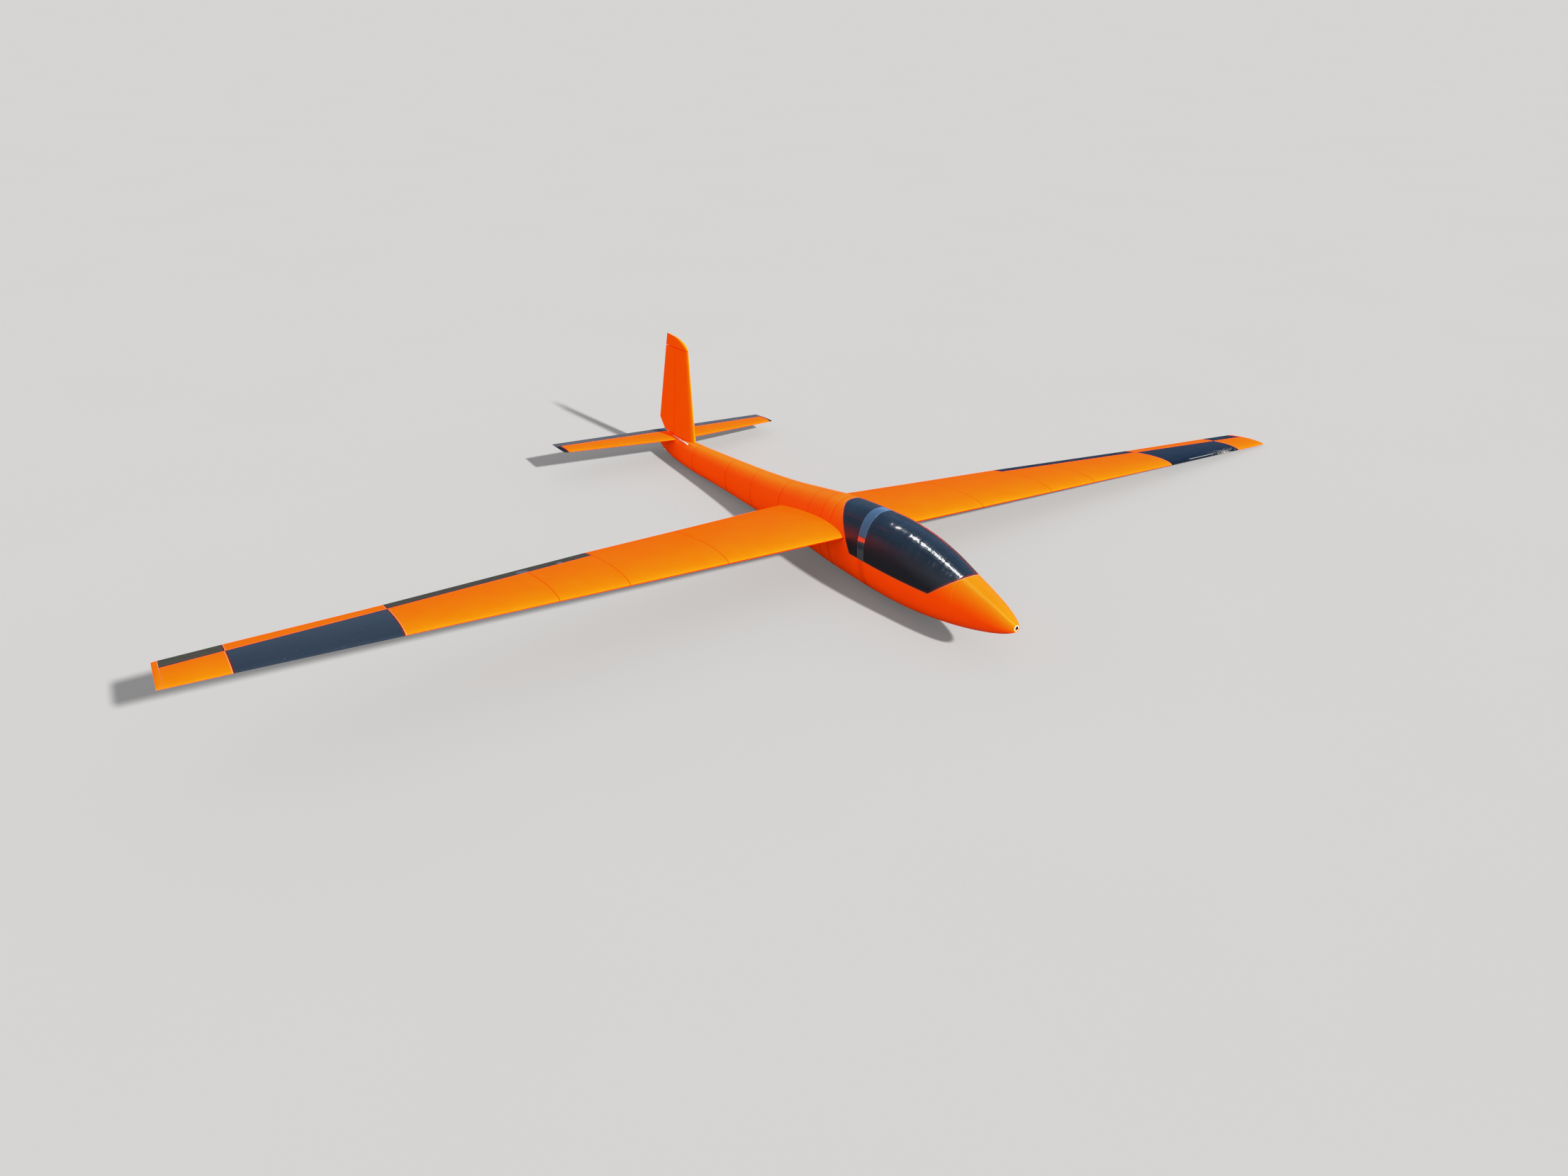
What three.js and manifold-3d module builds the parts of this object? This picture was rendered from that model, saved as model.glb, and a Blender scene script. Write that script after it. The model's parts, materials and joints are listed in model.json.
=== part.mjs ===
// A radio-controlled model sailplane of two metre span, as it comes to rest on a floor:
// on the underside of its pod and its tail, with the left wing tip down.
// Millimetres. In the airframe's own axes the nose points to +X, the left wing to +Y, up is +Z,
// and the nose tip is at the origin. The whole airframe is turned to its rest attitude at the end.
import * as THREE from "three";
import { mergeVertices } from "three/addons/utils/BufferGeometryUtils.js";
import Module from "manifold-3d";

const wasm = await Module();
wasm.setup();

// Driving dimensions
const GAP = 0.3;                    // between pieces that touch
const SIDES = 40;                   // sides of a fuselage section
const SQUARENESS = 2.2;             // 2 is an ellipse, more is boxier
const WALL = 2.0;                   // printed shell of nose, pod and hatch
const PAST = 5;                     // how far a cutting body runs past what it cuts
const STEP = { boom: 42, pod: 25, hollow: 20, nose: 12 };    // longest run between two sections

const NOSE_SEAM = -100;             // where the nose cone is joined on
const SEAT_SEAM = -385;             // pod to wing seat
const BOOM_SEAMS = [-545, -730, -858];
const TAIL_END = -1008;

const SEMI_SPAN = 1003;
const AILERON_START = 410.5;
const PAINT_SPLIT = { navy: 723.2, tip: 922.6 };    // at the leading edge
const CAP_START = 996;
const HINGE_BEVEL = Math.tan(THREE.MathUtils.degToRad(30));
const HINGE_GAP = 0.3;              // each side of a hinge line

const STAB_HEIGHT = 38;
const STAB_TIP = 231;
const FIN_BASE = 44.9;
const RUDDER_BASE = 47;
const FIN_CAP_BASE = 215;
const FIN_TOP = 237.2;

// Colours
const PAINT = {
  orange: { color: 0xff5a0a, roughness: 0.32, metalness: 0 },
  navy: { color: 0x1b2a3c, roughness: 0.25, metalness: 0 },
  charcoal: { color: 0x3b4756, roughness: 0.4, metalness: 0 },
  pale: { color: 0xe8cdb8, roughness: 0.5, metalness: 0 },
  tray: { color: 0xd9a066, roughness: 0.8, metalness: 0 },
  cell: { color: 0x2a2a2e, roughness: 0.55, metalness: 0 },
};

// Curves through named stations. A station table is sorted along its `at` column.
function between(table, at, column) {
  const last = table.length - 1;
  let i = 0;
  while (i < last - 1 && at > table[i + 1].at) i += 1;
  const a = table[i];
  const b = table[i + 1];
  const slope = (p, q) => (q[column] - p[column]) / (q.at - p.at);
  const here = slope(a, b);
  const before = i > 0 ? (slope(table[i - 1], a) + here) / 2 : here;
  const after = i < last - 1 ? (here + slope(b, table[i + 2])) / 2 : here;
  const run = b.at - a.at;
  const t = THREE.MathUtils.clamp((at - a.at) / run, 0, 1);
  return a[column] * (1 + 2 * t) * (1 - t) ** 2 + before * run * t * (1 - t) ** 2
    + b[column] * t * t * (3 - 2 * t) + after * run * t * t * (t - 1);
}

function straight(table, at, column) {
  let i = 0;
  while (i < table.length - 2 && at > table[i + 1].at) i += 1;
  const a = table[i];
  const b = table[i + 1];
  return THREE.MathUtils.mapLinear(at, a.at, b.at, a[column], b[column]);
}

// Closed body through a row of rings with equal numbers of points, closed by a fan at each end
function loft(rings) {
  const count = rings[0].length;
  const points = rings.flat();
  const triangles = [];
  for (let r = 0; r < rings.length - 1; r += 1) {
    for (let i = 0; i < count; i += 1) {
      const a = r * count + i;
      const b = r * count + (i + 1) % count;
      triangles.push(a, b, b + count, a, b + count, a + count);
    }
  }
  for (const [row, order] of [[0, -1], [rings.length - 1, 1]]) {
    const centre = new THREE.Vector3();
    rings[row].forEach((point) => centre.add(point));
    points.push(centre.divideScalar(count));
    const hub = points.length - 1;
    for (let i = 0; i < count; i += 1) {
      const a = row * count + i;
      const b = row * count + (i + 1) % count;
      triangles.push(hub, ...(order > 0 ? [a, b] : [b, a]));
    }
  }
  const geometry = new THREE.BufferGeometry().setFromPoints(points);
  geometry.setIndex(triangles);
  return facingOut(geometry);
}

function facingOut(geometry) {
  const position = geometry.getAttribute("position");
  const index = geometry.getIndex();
  const [a, b, c] = [new THREE.Vector3(), new THREE.Vector3(), new THREE.Vector3()];
  let volume = 0;
  for (let i = 0; i < index.count; i += 3) {
    a.fromBufferAttribute(position, index.getX(i));
    b.fromBufferAttribute(position, index.getX(i + 1));
    c.fromBufferAttribute(position, index.getX(i + 2));
    volume += a.dot(b.cross(c));
  }
  if (volume < 0) {
    for (let i = 0; i < index.count; i += 3) {
      const second = index.getX(i + 1);
      index.setX(i + 1, index.getX(i + 2));
      index.setX(i + 2, second);
    }
  }
  return geometry;
}

// Solids for cutting and joining
function solid(geometry) {
  const plain = geometry.clone();
  plain.deleteAttribute("normal");
  plain.deleteAttribute("uv");
  const merged = mergeVertices(plain, 1e-4);
  return new wasm.Manifold(new wasm.Mesh({
    numProp: 3,
    vertProperties: new Float32Array(merged.getAttribute("position").array),
    triVerts: new Uint32Array(merged.getIndex().array),
  }));
}

function geometryOf(manifold) {
  const mesh = manifold.getMesh();
  const geometry = new THREE.BufferGeometry();
  geometry.setAttribute("position", new THREE.BufferAttribute(new Float32Array(mesh.vertProperties), 3));
  geometry.setIndex(new THREE.BufferAttribute(new Uint32Array(mesh.triVerts), 1));
  return geometry;
}

function block([x0, y0, z0], [x1, y1, z1]) {
  const geometry = new THREE.BoxGeometry(x1 - x0, y1 - y0, z1 - z0);
  geometry.translate((x0 + x1) / 2, (y0 + y1) / 2, (z0 + z1) / 2);
  return solid(geometry);
}

// A side-view outline in X and Z, run right across the fuselage
function sideCut(outline, halfWidth) {
  const shape = new THREE.Shape(outline.map(([x, z]) => new THREE.Vector2(x, z)));
  const geometry = new THREE.ExtrudeGeometry(shape, { depth: 2 * halfWidth, bevelEnabled: false });
  geometry.rotateX(Math.PI / 2);
  geometry.translate(0, halfWidth, 0);
  return solid(geometry);
}

const airframe = new THREE.Group();

function add(name, paint, geometry) {
  const shown = geometry.index ? geometry.toNonIndexed() : geometry;
  shown.computeVertexNormals();
  const mesh = new THREE.Mesh(shown, new THREE.MeshStandardMaterial(PAINT[paint]));
  mesh.name = name;
  airframe.add(mesh);
  return mesh;
}

// Fuselage: height of back and belly, and half the width, at each station along it
const FUSELAGE = [
  { at: TAIL_END, top: 26, bottom: 11, half: 7 },
  { at: -993, top: 33, bottom: 3.6, half: 9.4 },
  { at: -985, top: 42, bottom: 0.8, half: 10.2 },
  { at: -950, top: 43.6, bottom: -5.8, half: 14 },
  { at: -900, top: 44.2, bottom: -10.3, half: 17.2 },
  { at: -850, top: 44.4, bottom: -12.8, half: 19.2 },
  { at: -780, top: 46.7, bottom: -14.7, half: 21 },
  { at: -700, top: 49.9, bottom: -18.5, half: 23.3 },
  { at: -620, top: 53.9, bottom: -23, half: 26.3 },
  { at: -540, top: 60.2, bottom: -29.6, half: 30.2 },
  { at: -460, top: 70, bottom: -37.2, half: 35.6 },
  { at: -400, top: 77.2, bottom: -42.6, half: 39.8 },
  { at: -350, top: 80.7, bottom: -45.3, half: 42 },
  { at: -300, top: 81.9, bottom: -47.7, half: 43.4 },
  { at: -250, top: 81.2, bottom: -48.6, half: 44 },
  { at: -200, top: 75.4, bottom: -47.2, half: 42.2 },
  { at: -150, top: 63.8, bottom: -42.6, half: 37.6 },
  { at: -100, top: 46.9, bottom: -35.4, half: 30.6 },
  { at: -60, top: 33.2, bottom: -27, half: 24.2 },
  { at: -30, top: 21.8, bottom: -18.9, half: 17.6 },
  { at: -14, top: 13.9, bottom: -13, half: 12.6 },
  { at: -5, top: 8.9, bottom: -8.7, half: 8.6 },
  { at: 0, top: 5.6, bottom: -5.6, half: 5.6 },
];

function fuselageRing(x, inset) {
  const top = between(FUSELAGE, x, "top") - inset;
  const bottom = between(FUSELAGE, x, "bottom") + inset;
  const half = between(FUSELAGE, x, "half") - inset;
  const bend = (value) => Math.sign(value) * Math.abs(value) ** (2 / SQUARENESS);
  const ring = [];
  for (let i = 0; i < SIDES; i += 1) {
    const angle = (2 * Math.PI * i) / SIDES;
    ring.push(new THREE.Vector3(
      x,
      half * bend(Math.sin(angle)),
      (top + bottom) / 2 - (top - bottom) / 2 * bend(Math.cos(angle)),
    ));
  }
  return ring;
}

// Stations between two ends: the table's own, and more where the run between two is over `step`
function stations(from, to, step) {
  const inner = FUSELAGE.map((row) => row.at).filter((at) => at > from + 1 && at < to - 1);
  const ends = [from, ...inner, to];
  const all = [from];
  for (let i = 1; i < ends.length; i += 1) {
    const parts = Math.ceil((ends[i] - ends[i - 1]) / step);
    for (let k = 1; k <= parts; k += 1) all.push(THREE.MathUtils.lerp(ends[i - 1], ends[i], k / parts));
  }
  return all;
}

function fuselageBody(from, to, inset = 0, step = STEP.boom) {
  return solid(loft(stations(from, to, step).map((x) => fuselageRing(x, inset))));
}

// Hatch: its outline in side view, wider by `grow` for the hole it drops into
const HATCH = {
  frontLow: [-144.7, 6.9],
  frontTop: [-94.2, 44.8],
  aftLow: [-324.4, 9.9],
  aftBend: [-351.5, 57],
  aftTop: [-372, 76],
};
const HATCH_EDGE_STEPS = 6;
const ABOVE = 100;                  // clear of the fuselage's back
const BESIDE = 60;                  // clear of its flanks

function hatchVolume(grow) {
  const { frontLow, frontTop, aftLow, aftBend, aftTop } = HATCH;
  const slant = (frontTop[0] - frontLow[0]) / (frontTop[1] - frontLow[1]);
  const clearAbove = frontTop[0] + slant * (ABOVE - frontTop[1]);
  const forward = grow * Math.hypot(slant, 1);
  const aftEdge = new THREE.QuadraticBezierCurve(
    new THREE.Vector2(aftTop[0] - grow, aftTop[1] - grow),
    new THREE.Vector2(aftBend[0] - grow, aftBend[1] - grow),
    new THREE.Vector2(aftLow[0] - grow, aftLow[1] - grow),
  );
  return sideCut([
    [frontLow[0] + forward - slant * grow, frontLow[1] - grow],
    [clearAbove + forward, ABOVE],
    [aftTop[0] - grow, ABOVE],
    ...aftEdge.getPoints(HATCH_EDGE_STEPS).map((point) => point.toArray()),
  ], BESIDE);
}

const hole = hatchVolume(GAP);

// Nose cone, with a vent in its tip
const EYELET = { outer: 4.5, bore: 2.6, depth: 6, chamfer: 0.8 };
const NOSE_HOLLOW_START = -18;
const ROUND_SIDES = 32;

function alongX(radius, from, to) {
  const geometry = new THREE.CylinderGeometry(radius, radius, to - from, ROUND_SIDES);
  geometry.rotateZ(Math.PI / 2);
  geometry.translate((from + to) / 2, 0, 0);
  return solid(geometry);
}

function buildNose() {
  const outer = fuselageBody(NOSE_SEAM + GAP / 2, 0, 0, STEP.nose);
  const inner = fuselageBody(NOSE_SEAM - PAST, NOSE_HOLLOW_START, WALL, STEP.hollow);
  const nose = outer.subtract(inner).subtract(hole)
    .subtract(alongX(EYELET.bore, NOSE_HOLLOW_START - PAST, PAST))
    .subtract(alongX(EYELET.outer + GAP, -EYELET.depth - GAP, PAST));
  add("nose_cone", "orange", geometryOf(nose));
  const { outer: rim, bore, depth, chamfer } = EYELET;
  const profile = [
    [bore, -depth],
    [rim, -depth],
    [rim, -chamfer],
    [rim - chamfer, 0],
    [bore, 0],
    [bore, -depth],
  ];
  const eyelet = new THREE.LatheGeometry(profile.map(([r, x]) => new THREE.Vector2(r, x)), ROUND_SIDES);
  eyelet.rotateZ(-Math.PI / 2);
  add("nose_eyelet", "pale", eyelet);
}

// Pod shell and the hatch that closes it
const HATCH_FRONT = -40;
function buildPod() {
  const outer = fuselageBody(SEAT_SEAM + GAP / 2, NOSE_SEAM - GAP / 2, 0, STEP.pod);
  const inner = fuselageBody(SEAT_SEAM - PAST, NOSE_SEAM + PAST, WALL, STEP.pod);
  add("pod_shell", "orange", geometryOf(outer.subtract(inner).subtract(hole)));
  const skin = fuselageBody(SEAT_SEAM, HATCH_FRONT, 0, STEP.pod);
  const shell = skin.subtract(fuselageBody(SEAT_SEAM - PAST, HATCH_FRONT + PAST, WALL, STEP.pod));
  add("canopy_hatch", "navy", geometryOf(shell.intersect(hatchVolume(0))));
}

// Tray across the pod's floor, and the battery that stands on it
const TRAY = { from: -330, to: -48, top: -18, thick: 2 };
const BATTERY = { from: -150, to: -78, half: 16, height: 24 };

function buildBay() {
  const room = fuselageBody(SEAT_SEAM, HATCH_FRONT, WALL + GAP, STEP.pod);
  const slab = block([TRAY.from, -BESIDE, TRAY.top - TRAY.thick], [TRAY.to, BESIDE, TRAY.top]);
  add("equipment_tray", "tray", geometryOf(slab.intersect(room)));
  const low = TRAY.top + GAP;
  add("battery_block", "cell", geometryOf(block(
    [BATTERY.from, -BATTERY.half, low],
    [BATTERY.to, BATTERY.half, low + BATTERY.height],
  )));
}

function buildBoom() {
  const seams = [SEAT_SEAM, ...BOOM_SEAMS, TAIL_END];
  const names = ["wing_seat", "boom_front", "boom_rear", "tail_block"];
  names.forEach((name, i) => {
    const last = i === names.length - 1;
    const from = seams[i + 1] + (last ? 0 : GAP / 2);
    add(name, "orange", geometryOf(fuselageBody(from, seams[i] - GAP / 2)));
  });
}

// Wing: leading and trailing edge, height of the leading edge, how far the trailing edge lies
// below it, and thickness as a share of the chord, for the left wing by distance out
const WING = [
  { at: 20, lead: -342, trail: -530.5, height: 30.4, drop: 4, thick: 0.092 },
  { at: 250, lead: -341.5, trail: -506, height: 29.8, drop: 2, thick: 0.09 },
  { at: 410, lead: -339.5, trail: -488.7, height: 30.6, drop: 1.6, thick: 0.088 },
  { at: 720, lead: -335.6, trail: -445, height: 32.6, drop: 0.8, thick: 0.08 },
  { at: 920, lead: -335, trail: -421, height: 33.4, drop: -0.6, thick: 0.072 },
  { at: SEMI_SPAN, lead: -334.6, trail: -410.5, height: 33.6, drop: -1.2, thick: 0.07 },
];
const WING_CAMBER = { rise: 0.02, crest: 0.4 };
const STEPS = [0, 0.008, 0.03, 0.07, 0.13, 0.21, 0.31, 0.43, 0.57, 0.72, 0.86, 1];
const AILERON_HINGE = { start: -464.7, slope: 0.1377 };
const aileronHinge = (y) => AILERON_HINGE.start + AILERON_HINGE.slope * (y - AILERON_START);

// Half thickness of a thin streamlined section, as a share of its chord
function halfThickness(share, thickness) {
  const s = Math.max(share, 0);
  return 5 * thickness * (0.2969 * Math.sqrt(s) - 0.126 * s - 0.3516 * s ** 2 + 0.2843 * s ** 3
    - 0.1036 * s ** 4) + 0.0035 * s;
}

function wingSurface(y, x, side, thin = 1) {
  const lead = straight(WING, y, "lead");
  const chord = lead - straight(WING, y, "trail");
  const share = THREE.MathUtils.clamp((lead - x) / chord, 0, 1);
  const { rise, crest } = WING_CAMBER;
  const camber = share < crest
    ? rise * (2 * crest * share - share ** 2) / crest ** 2
    : rise * (1 - 2 * crest + 2 * crest * share - share ** 2) / (1 - crest) ** 2;
  const half = halfThickness(share, straight(WING, y, "thick")) * thin;
  return straight(WING, y, "height") - straight(WING, y, "drop") * share + chord * (camber + side * half);
}

// Ring round the wing at distance y, from the leading edge back to `rear`, or from the hinge back
function wingRing(y, { rear, front, bevel = 0, rake = 0, thin = 1 }) {
  const start = front ?? straight(WING, y, "lead");
  const end = rear ?? straight(WING, y, "trail");
  const fold = front === undefined ? STEPS : STEPS.filter((step, i) => i % 3 === 0 || step === 1);
  const place = (step, side, shift = 0) => {
    const x = THREE.MathUtils.lerp(start - shift, end, step);
    const out = y + rake * (straight(WING, y, "lead") - x);
    return new THREE.Vector3(x, out, wingSurface(out, x, side, thin));
  };
  const upper = [...fold].reverse().map((step) => place(step, 1));
  const lower = (front === undefined ? fold.slice(1) : fold).map((step) => place(step, -1, bevel));
  return [...upper, ...lower];
}

// The same ring on the other side of the fuselage
const mirrored = (ring, hand) => ring.map((p) => new THREE.Vector3(p.x, hand * p.y, p.z));

// Panels from the root outwards. The paint seams and the cap run in towards the trailing edge.
const SEAM_RAKE = -0.03;
const CAP_RAKE = -0.05;
const PANELS = [
  { name: "inner", paint: "orange", from: 0, to: 250, aileron: false },
  { name: "middle", paint: "orange", from: 250, to: 410, aileron: false },
  { name: "aileron_bay", paint: "orange", from: 410, to: 516, aileron: true },
  { name: "outer", paint: "orange", from: 516, to: PAINT_SPLIT.navy, aileron: true },
  { name: "navy", paint: "navy", from: PAINT_SPLIT.navy, to: PAINT_SPLIT.tip, aileron: true },
  { name: "tip", paint: "orange", from: PAINT_SPLIT.tip, to: CAP_START, aileron: true },
];
function rakeAt(y) {
  if (y >= CAP_START) return CAP_RAKE;
  return Object.values(PAINT_SPLIT).includes(y) ? SEAM_RAKE : 0;
}

const AILERONS = [
  { name: "inner", paint: "charcoal", from: AILERON_START, to: PAINT_SPLIT.navy },
  { name: "middle", paint: "orange", from: PAINT_SPLIT.navy, to: PAINT_SPLIT.tip },
  { name: "outer", paint: "charcoal", from: PAINT_SPLIT.tip, to: CAP_START },
];
const ROOT_RIB = { out: 45, rake: 0.045 };
const CAP_RINGS = [
  { at: CAP_START, thin: 1, pinch: 0 },
  { at: 1000, thin: 0.92, pinch: 0.2 },
  { at: 1002, thin: 0.7, pinch: 0.8 },
  { at: SEMI_SPAN, thin: 0.4, pinch: 1.8 },
];
const SERVO_COVER = { x0: -392, x1: -352, y0: 548, y1: 600, thick: 1.6, reach: 10 };

// The fuselage grown by the gap, cut from the roots of wing and tailplane
const fuselageCut = fuselageBody(TAIL_END, NOSE_SEAM, -GAP, STEP.pod);
const STUB_START = 20;


function buildWing(side, hand) {
  const full = (y, extra = {}) => mirrored(wingRing(y, { rake: rakeAt(y), ...extra }), hand);
  const bay = (y, shift) => mirrored(wingRing(y + shift, {
    rake: rakeAt(y),
    rear: aileronHinge(y) + HINGE_GAP,
  }), hand);

  const stub = solid(loft([full(STUB_START), full(ROOT_RIB.out - GAP / 2, { rake: ROOT_RIB.rake })]));
  add(`wing_root_${side}`, "orange", geometryOf(stub.subtract(fuselageCut)));

  for (const panel of PANELS) {
    let rings = [bay(panel.from, GAP / 2), bay(panel.to, -GAP / 2)];
    if (!panel.aileron) {
      const near = panel.from === 0 ? ROOT_RIB.out : panel.from;
      const rake = panel.from === 0 ? ROOT_RIB.rake : 0;
      rings = [full(near + GAP / 2, { rake }), full(panel.to - GAP / 2)];
    }
    let body = solid(loft(rings));
    if (panel.name === "outer") {
      const { x0, x1, y0, y1, thick, reach } = SERVO_COVER;
      const level = wingSurface((y0 + y1) / 2, (x0 + x1) / 2, -1);
      const ys = [hand * y0, hand * y1].sort((p, q) => p - q);
      const cover = block([x0, ys[0], level - reach], [x1, ys[1], level + thick]);
      const around = block(
        [x0 - GAP, ys[0] - GAP, level - reach],
        [x1 + GAP, ys[1] + GAP, level + thick + GAP],
      );
      add(`servo_cover_${side}`, "orange", geometryOf(body.intersect(cover)));
      body = body.subtract(around);
    }
    add(`wing_${panel.name}_${side}`, panel.paint, geometryOf(body));
  }

  const cap = CAP_RINGS.map(({ at, thin, pinch }) => full(at + (at === CAP_START ? GAP / 2 : 0), {
    thin,
    rear: straight(WING, at, "trail") + pinch,
  }));
  add(`wing_cap_${side}`, "orange", loft(cap));

  for (const part of AILERONS) {
    const strip = [[part.from, GAP / 2], [part.to, -GAP / 2]].map(([y, shift]) => {
      const hingeAt = aileronHinge(y);
      const depth = wingSurface(y, hingeAt, 1) - wingSurface(y, hingeAt, -1);
      const options = { front: hingeAt - HINGE_GAP, bevel: depth * HINGE_BEVEL, rake: rakeAt(y) };
      return mirrored(wingRing(y + shift, options), hand);
    });
    const mesh = add(`aileron_${side}_${part.name}`, part.paint, loft(strip));
    mesh.userData.hinge = [AILERON_START, CAP_START].map((y) => {
      const x = aileronHinge(y);
      return [x, hand * y, wingSurface(y, x, 1)];
    });
  }
}

// Tail surfaces share one symmetrical section, as half thickness at a place between two edges
const TAIL_THICKNESS = 0.085;
const SHARP = { stab: 0.02, fin: 0.3 };    // half thickness left at the trailing edge

function tailHalf(x, lead, trail) {
  return (lead - trail) * halfThickness((lead - x) / (lead - trail), TAIL_THICKNESS);
}

// Tailplane: its leading edge, hinge line and trailing edge by distance out
const STAB = {
  lead: (y) => -934.5 - 0.121 * y,
  hinge: (y) => -994.4 - 0.014 * y,
  trail: () => -1023.6,
};

function stabRing(y, { from, to, bevel = 0, thin = 1 }) {
  const lead = STAB.lead(y);
  const trail = STAB.trail(y);
  const start = from ?? lead;
  const end = to ?? trail;
  const fold = STEPS.filter((step, i) => i % 2 === 0 || step === 1);
  const steps = from === undefined ? fold : [0, 0.5, 1];
  const place = (step, side, shift = 0) => {
    const x = THREE.MathUtils.lerp(start - shift, end, step);
    return new THREE.Vector3(x, y, STAB_HEIGHT + side * thin * Math.max(tailHalf(x, lead, trail), SHARP.stab));
  };
  const upper = [...steps].reverse().map((step) => place(step, 1));
  const lower = (from === undefined ? steps.slice(1) : steps).map((step) => place(step, -1, bevel));
  return [...upper, ...lower];
}

const STAB_ROOT = 0.4;
const HORN = { root: 224, gap: 0.7, overlap: 3 };

function buildTailplane() {
  for (const [side, hand] of [["left", 1], ["right", -1]]) {
    const rings = [STAB_ROOT, HORN.root].map((y) => mirrored(stabRing(y, { to: STAB.hinge(y) + HINGE_GAP }), hand));
    add(`stabiliser_${side}`, "orange", geometryOf(solid(loft(rings)).subtract(fuselageCut)));
  }
  const depthAt = (y) => 2 * tailHalf(STAB.hinge(y), STAB.lead(y), STAB.trail(y));
  const strip = (y) => stabRing(y, { from: STAB.hinge(y) - HINGE_GAP, bevel: depthAt(y) * HINGE_BEVEL });
  const span = HORN.root + HORN.overlap;
  let elevator = solid(loft([mirrored(strip(span), -1), strip(0), strip(span)]));
  for (const hand of [1, -1]) {
    const horn = [
      { at: HORN.root + HORN.gap, thin: 1 },
      { at: 228.6, thin: 0.85 },
      { at: STAB_TIP, thin: 0.4 },
    ].map(({ at, thin }) => mirrored(stabRing(at, { thin }), hand));
    elevator = elevator.add(solid(loft(horn)));
  }
  const mesh = add("elevator", "charcoal", geometryOf(elevator));
  const x = STAB.hinge(0);
  const height = STAB_HEIGHT + tailHalf(x, STAB.lead(0), STAB.trail(0));
  mesh.userData.hinge = [[x, -1, height], [x, 1, height]];
}

// Fin and rudder: edges by height
const FIN = {
  lead: (z) => -877.2 - 0.139 * (z - 42.4),
  hinge: (z) => -949.4 + 0.03 * (z - 46),
  trail: (z) => -1017.4 + 0.2087 * (z - 65.2),
};
const RUDDER_TOP_GAP = 1.2;
const RUDDER_CUT = { start: -994, corner: 66 };
const FIN_CAP = [
  { at: FIN_CAP_BASE, lead: FIN.lead(FIN_CAP_BASE), thin: 1 },
  { at: 218.8, lead: -904, thin: 0.98 },
  { at: 222.9, lead: -909.1, thin: 0.92 },
  { at: 227, lead: -917, thin: 0.84 },
  { at: 230.8, lead: -927.9, thin: 0.74 },
  { at: 234, lead: -942.9, thin: 0.62 },
  { at: 236.2, lead: -961.4, thin: 0.5 },
  { at: FIN_TOP, lead: -976, thin: 0.4 },
];

function finRing(z, { from, to, lead = FIN.lead(z), bevel = 0, thin = 1 }) {
  const trail = FIN.trail(z);
  const start = from ?? lead;
  const end = to ?? trail;
  const half = (x) => thin * Math.max(tailHalf(x, FIN.lead(z), trail), SHARP.fin);
  const fold = STEPS.filter((step, i) => i % 2 === 0 || step === 1);
  const ring = [];
  if (from === undefined) {
    for (const step of [...fold].reverse()) {
      const x = THREE.MathUtils.lerp(start, end, step);
      ring.push(new THREE.Vector3(x, step === 0 ? 0 : half(x), z));
    }
    for (const step of fold.slice(1)) {
      const x = THREE.MathUtils.lerp(start, end, step);
      ring.push(new THREE.Vector3(x, -half(x), z));
    }
    return ring;
  }
  const shoulder = start - bevel;
  ring.push(new THREE.Vector3(end, half(end), z), new THREE.Vector3(shoulder, half(shoulder), z));
  ring.push(new THREE.Vector3(start, 0, z));
  ring.push(new THREE.Vector3(shoulder, -half(shoulder), z), new THREE.Vector3(end, -half(end), z));
  return ring;
}

function buildFin() {
  const front = [FIN_BASE, FIN_CAP_BASE - GAP].map((z) => finRing(z, { to: FIN.hinge(z) + HINGE_GAP }));
  add("fin", "orange", loft(front));
  const cap = FIN_CAP.map(({ at, lead, thin }) => finRing(at, { lead, thin }));
  add("fin_cap", "orange", loft(cap));
  const rows = [
    { at: RUDDER_BASE, end: RUDDER_CUT.start },
    { at: RUDDER_CUT.corner, end: FIN.trail(RUDDER_CUT.corner) },
    { at: FIN_CAP_BASE - RUDDER_TOP_GAP, end: FIN.trail(FIN_CAP_BASE - RUDDER_TOP_GAP) },
  ];
  const rudder = rows.map(({ at, end }) => {
    const x = FIN.hinge(at);
    const bevel = tailHalf(x, FIN.lead(at), FIN.trail(at)) * HINGE_BEVEL;
    return finRing(at, { from: x - HINGE_GAP, to: end, bevel });
  });
  const mesh = add("rudder", "orange", loft(rudder));
  mesh.userData.hinge = [RUDDER_BASE, FIN_CAP_BASE].map((z) => [FIN.hinge(z), 0, z]);
}

buildNose();
buildPod();
buildBay();
buildBoom();
for (const [side, hand] of [["left", 1], ["right", -1]]) buildWing(side, hand);
buildTailplane();
buildFin();

// Rest attitude: the plane through the pod's keel, the tail's keel and the left wing tip's
// underside is the floor
const KEEL_CONTACT = -385;
const TAIL_CONTACT = -900;
const TIP_CONTACT = { x: -409.8, y: 997.3 };
const keelAt = (x) => new THREE.Vector3(x, 0, between(FUSELAGE, x, "bottom"));
const tipHeight = wingSurface(TIP_CONTACT.y, TIP_CONTACT.x, -1, 0.9);
const tipContact = new THREE.Vector3(TIP_CONTACT.x, TIP_CONTACT.y, tipHeight);
const along = keelAt(TAIL_CONTACT).sub(keelAt(KEEL_CONTACT));
const outward = tipContact.clone().sub(keelAt(KEEL_CONTACT));
const floorNormal = outward.cross(along).normalize();
if (floorNormal.z < 0) floorNormal.negate();
airframe.quaternion.setFromUnitVectors(floorNormal, new THREE.Vector3(0, 0, 1));

// Origin on the floor, under the middle of the glider's box
const glider = new THREE.Group();
glider.add(airframe);
glider.updateMatrixWorld(true);
const extent = new THREE.Box3().setFromObject(glider, true);
const middle = extent.getCenter(new THREE.Vector3());
airframe.position.set(-middle.x, -middle.y, -extent.min.z);

export default glider;
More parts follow.
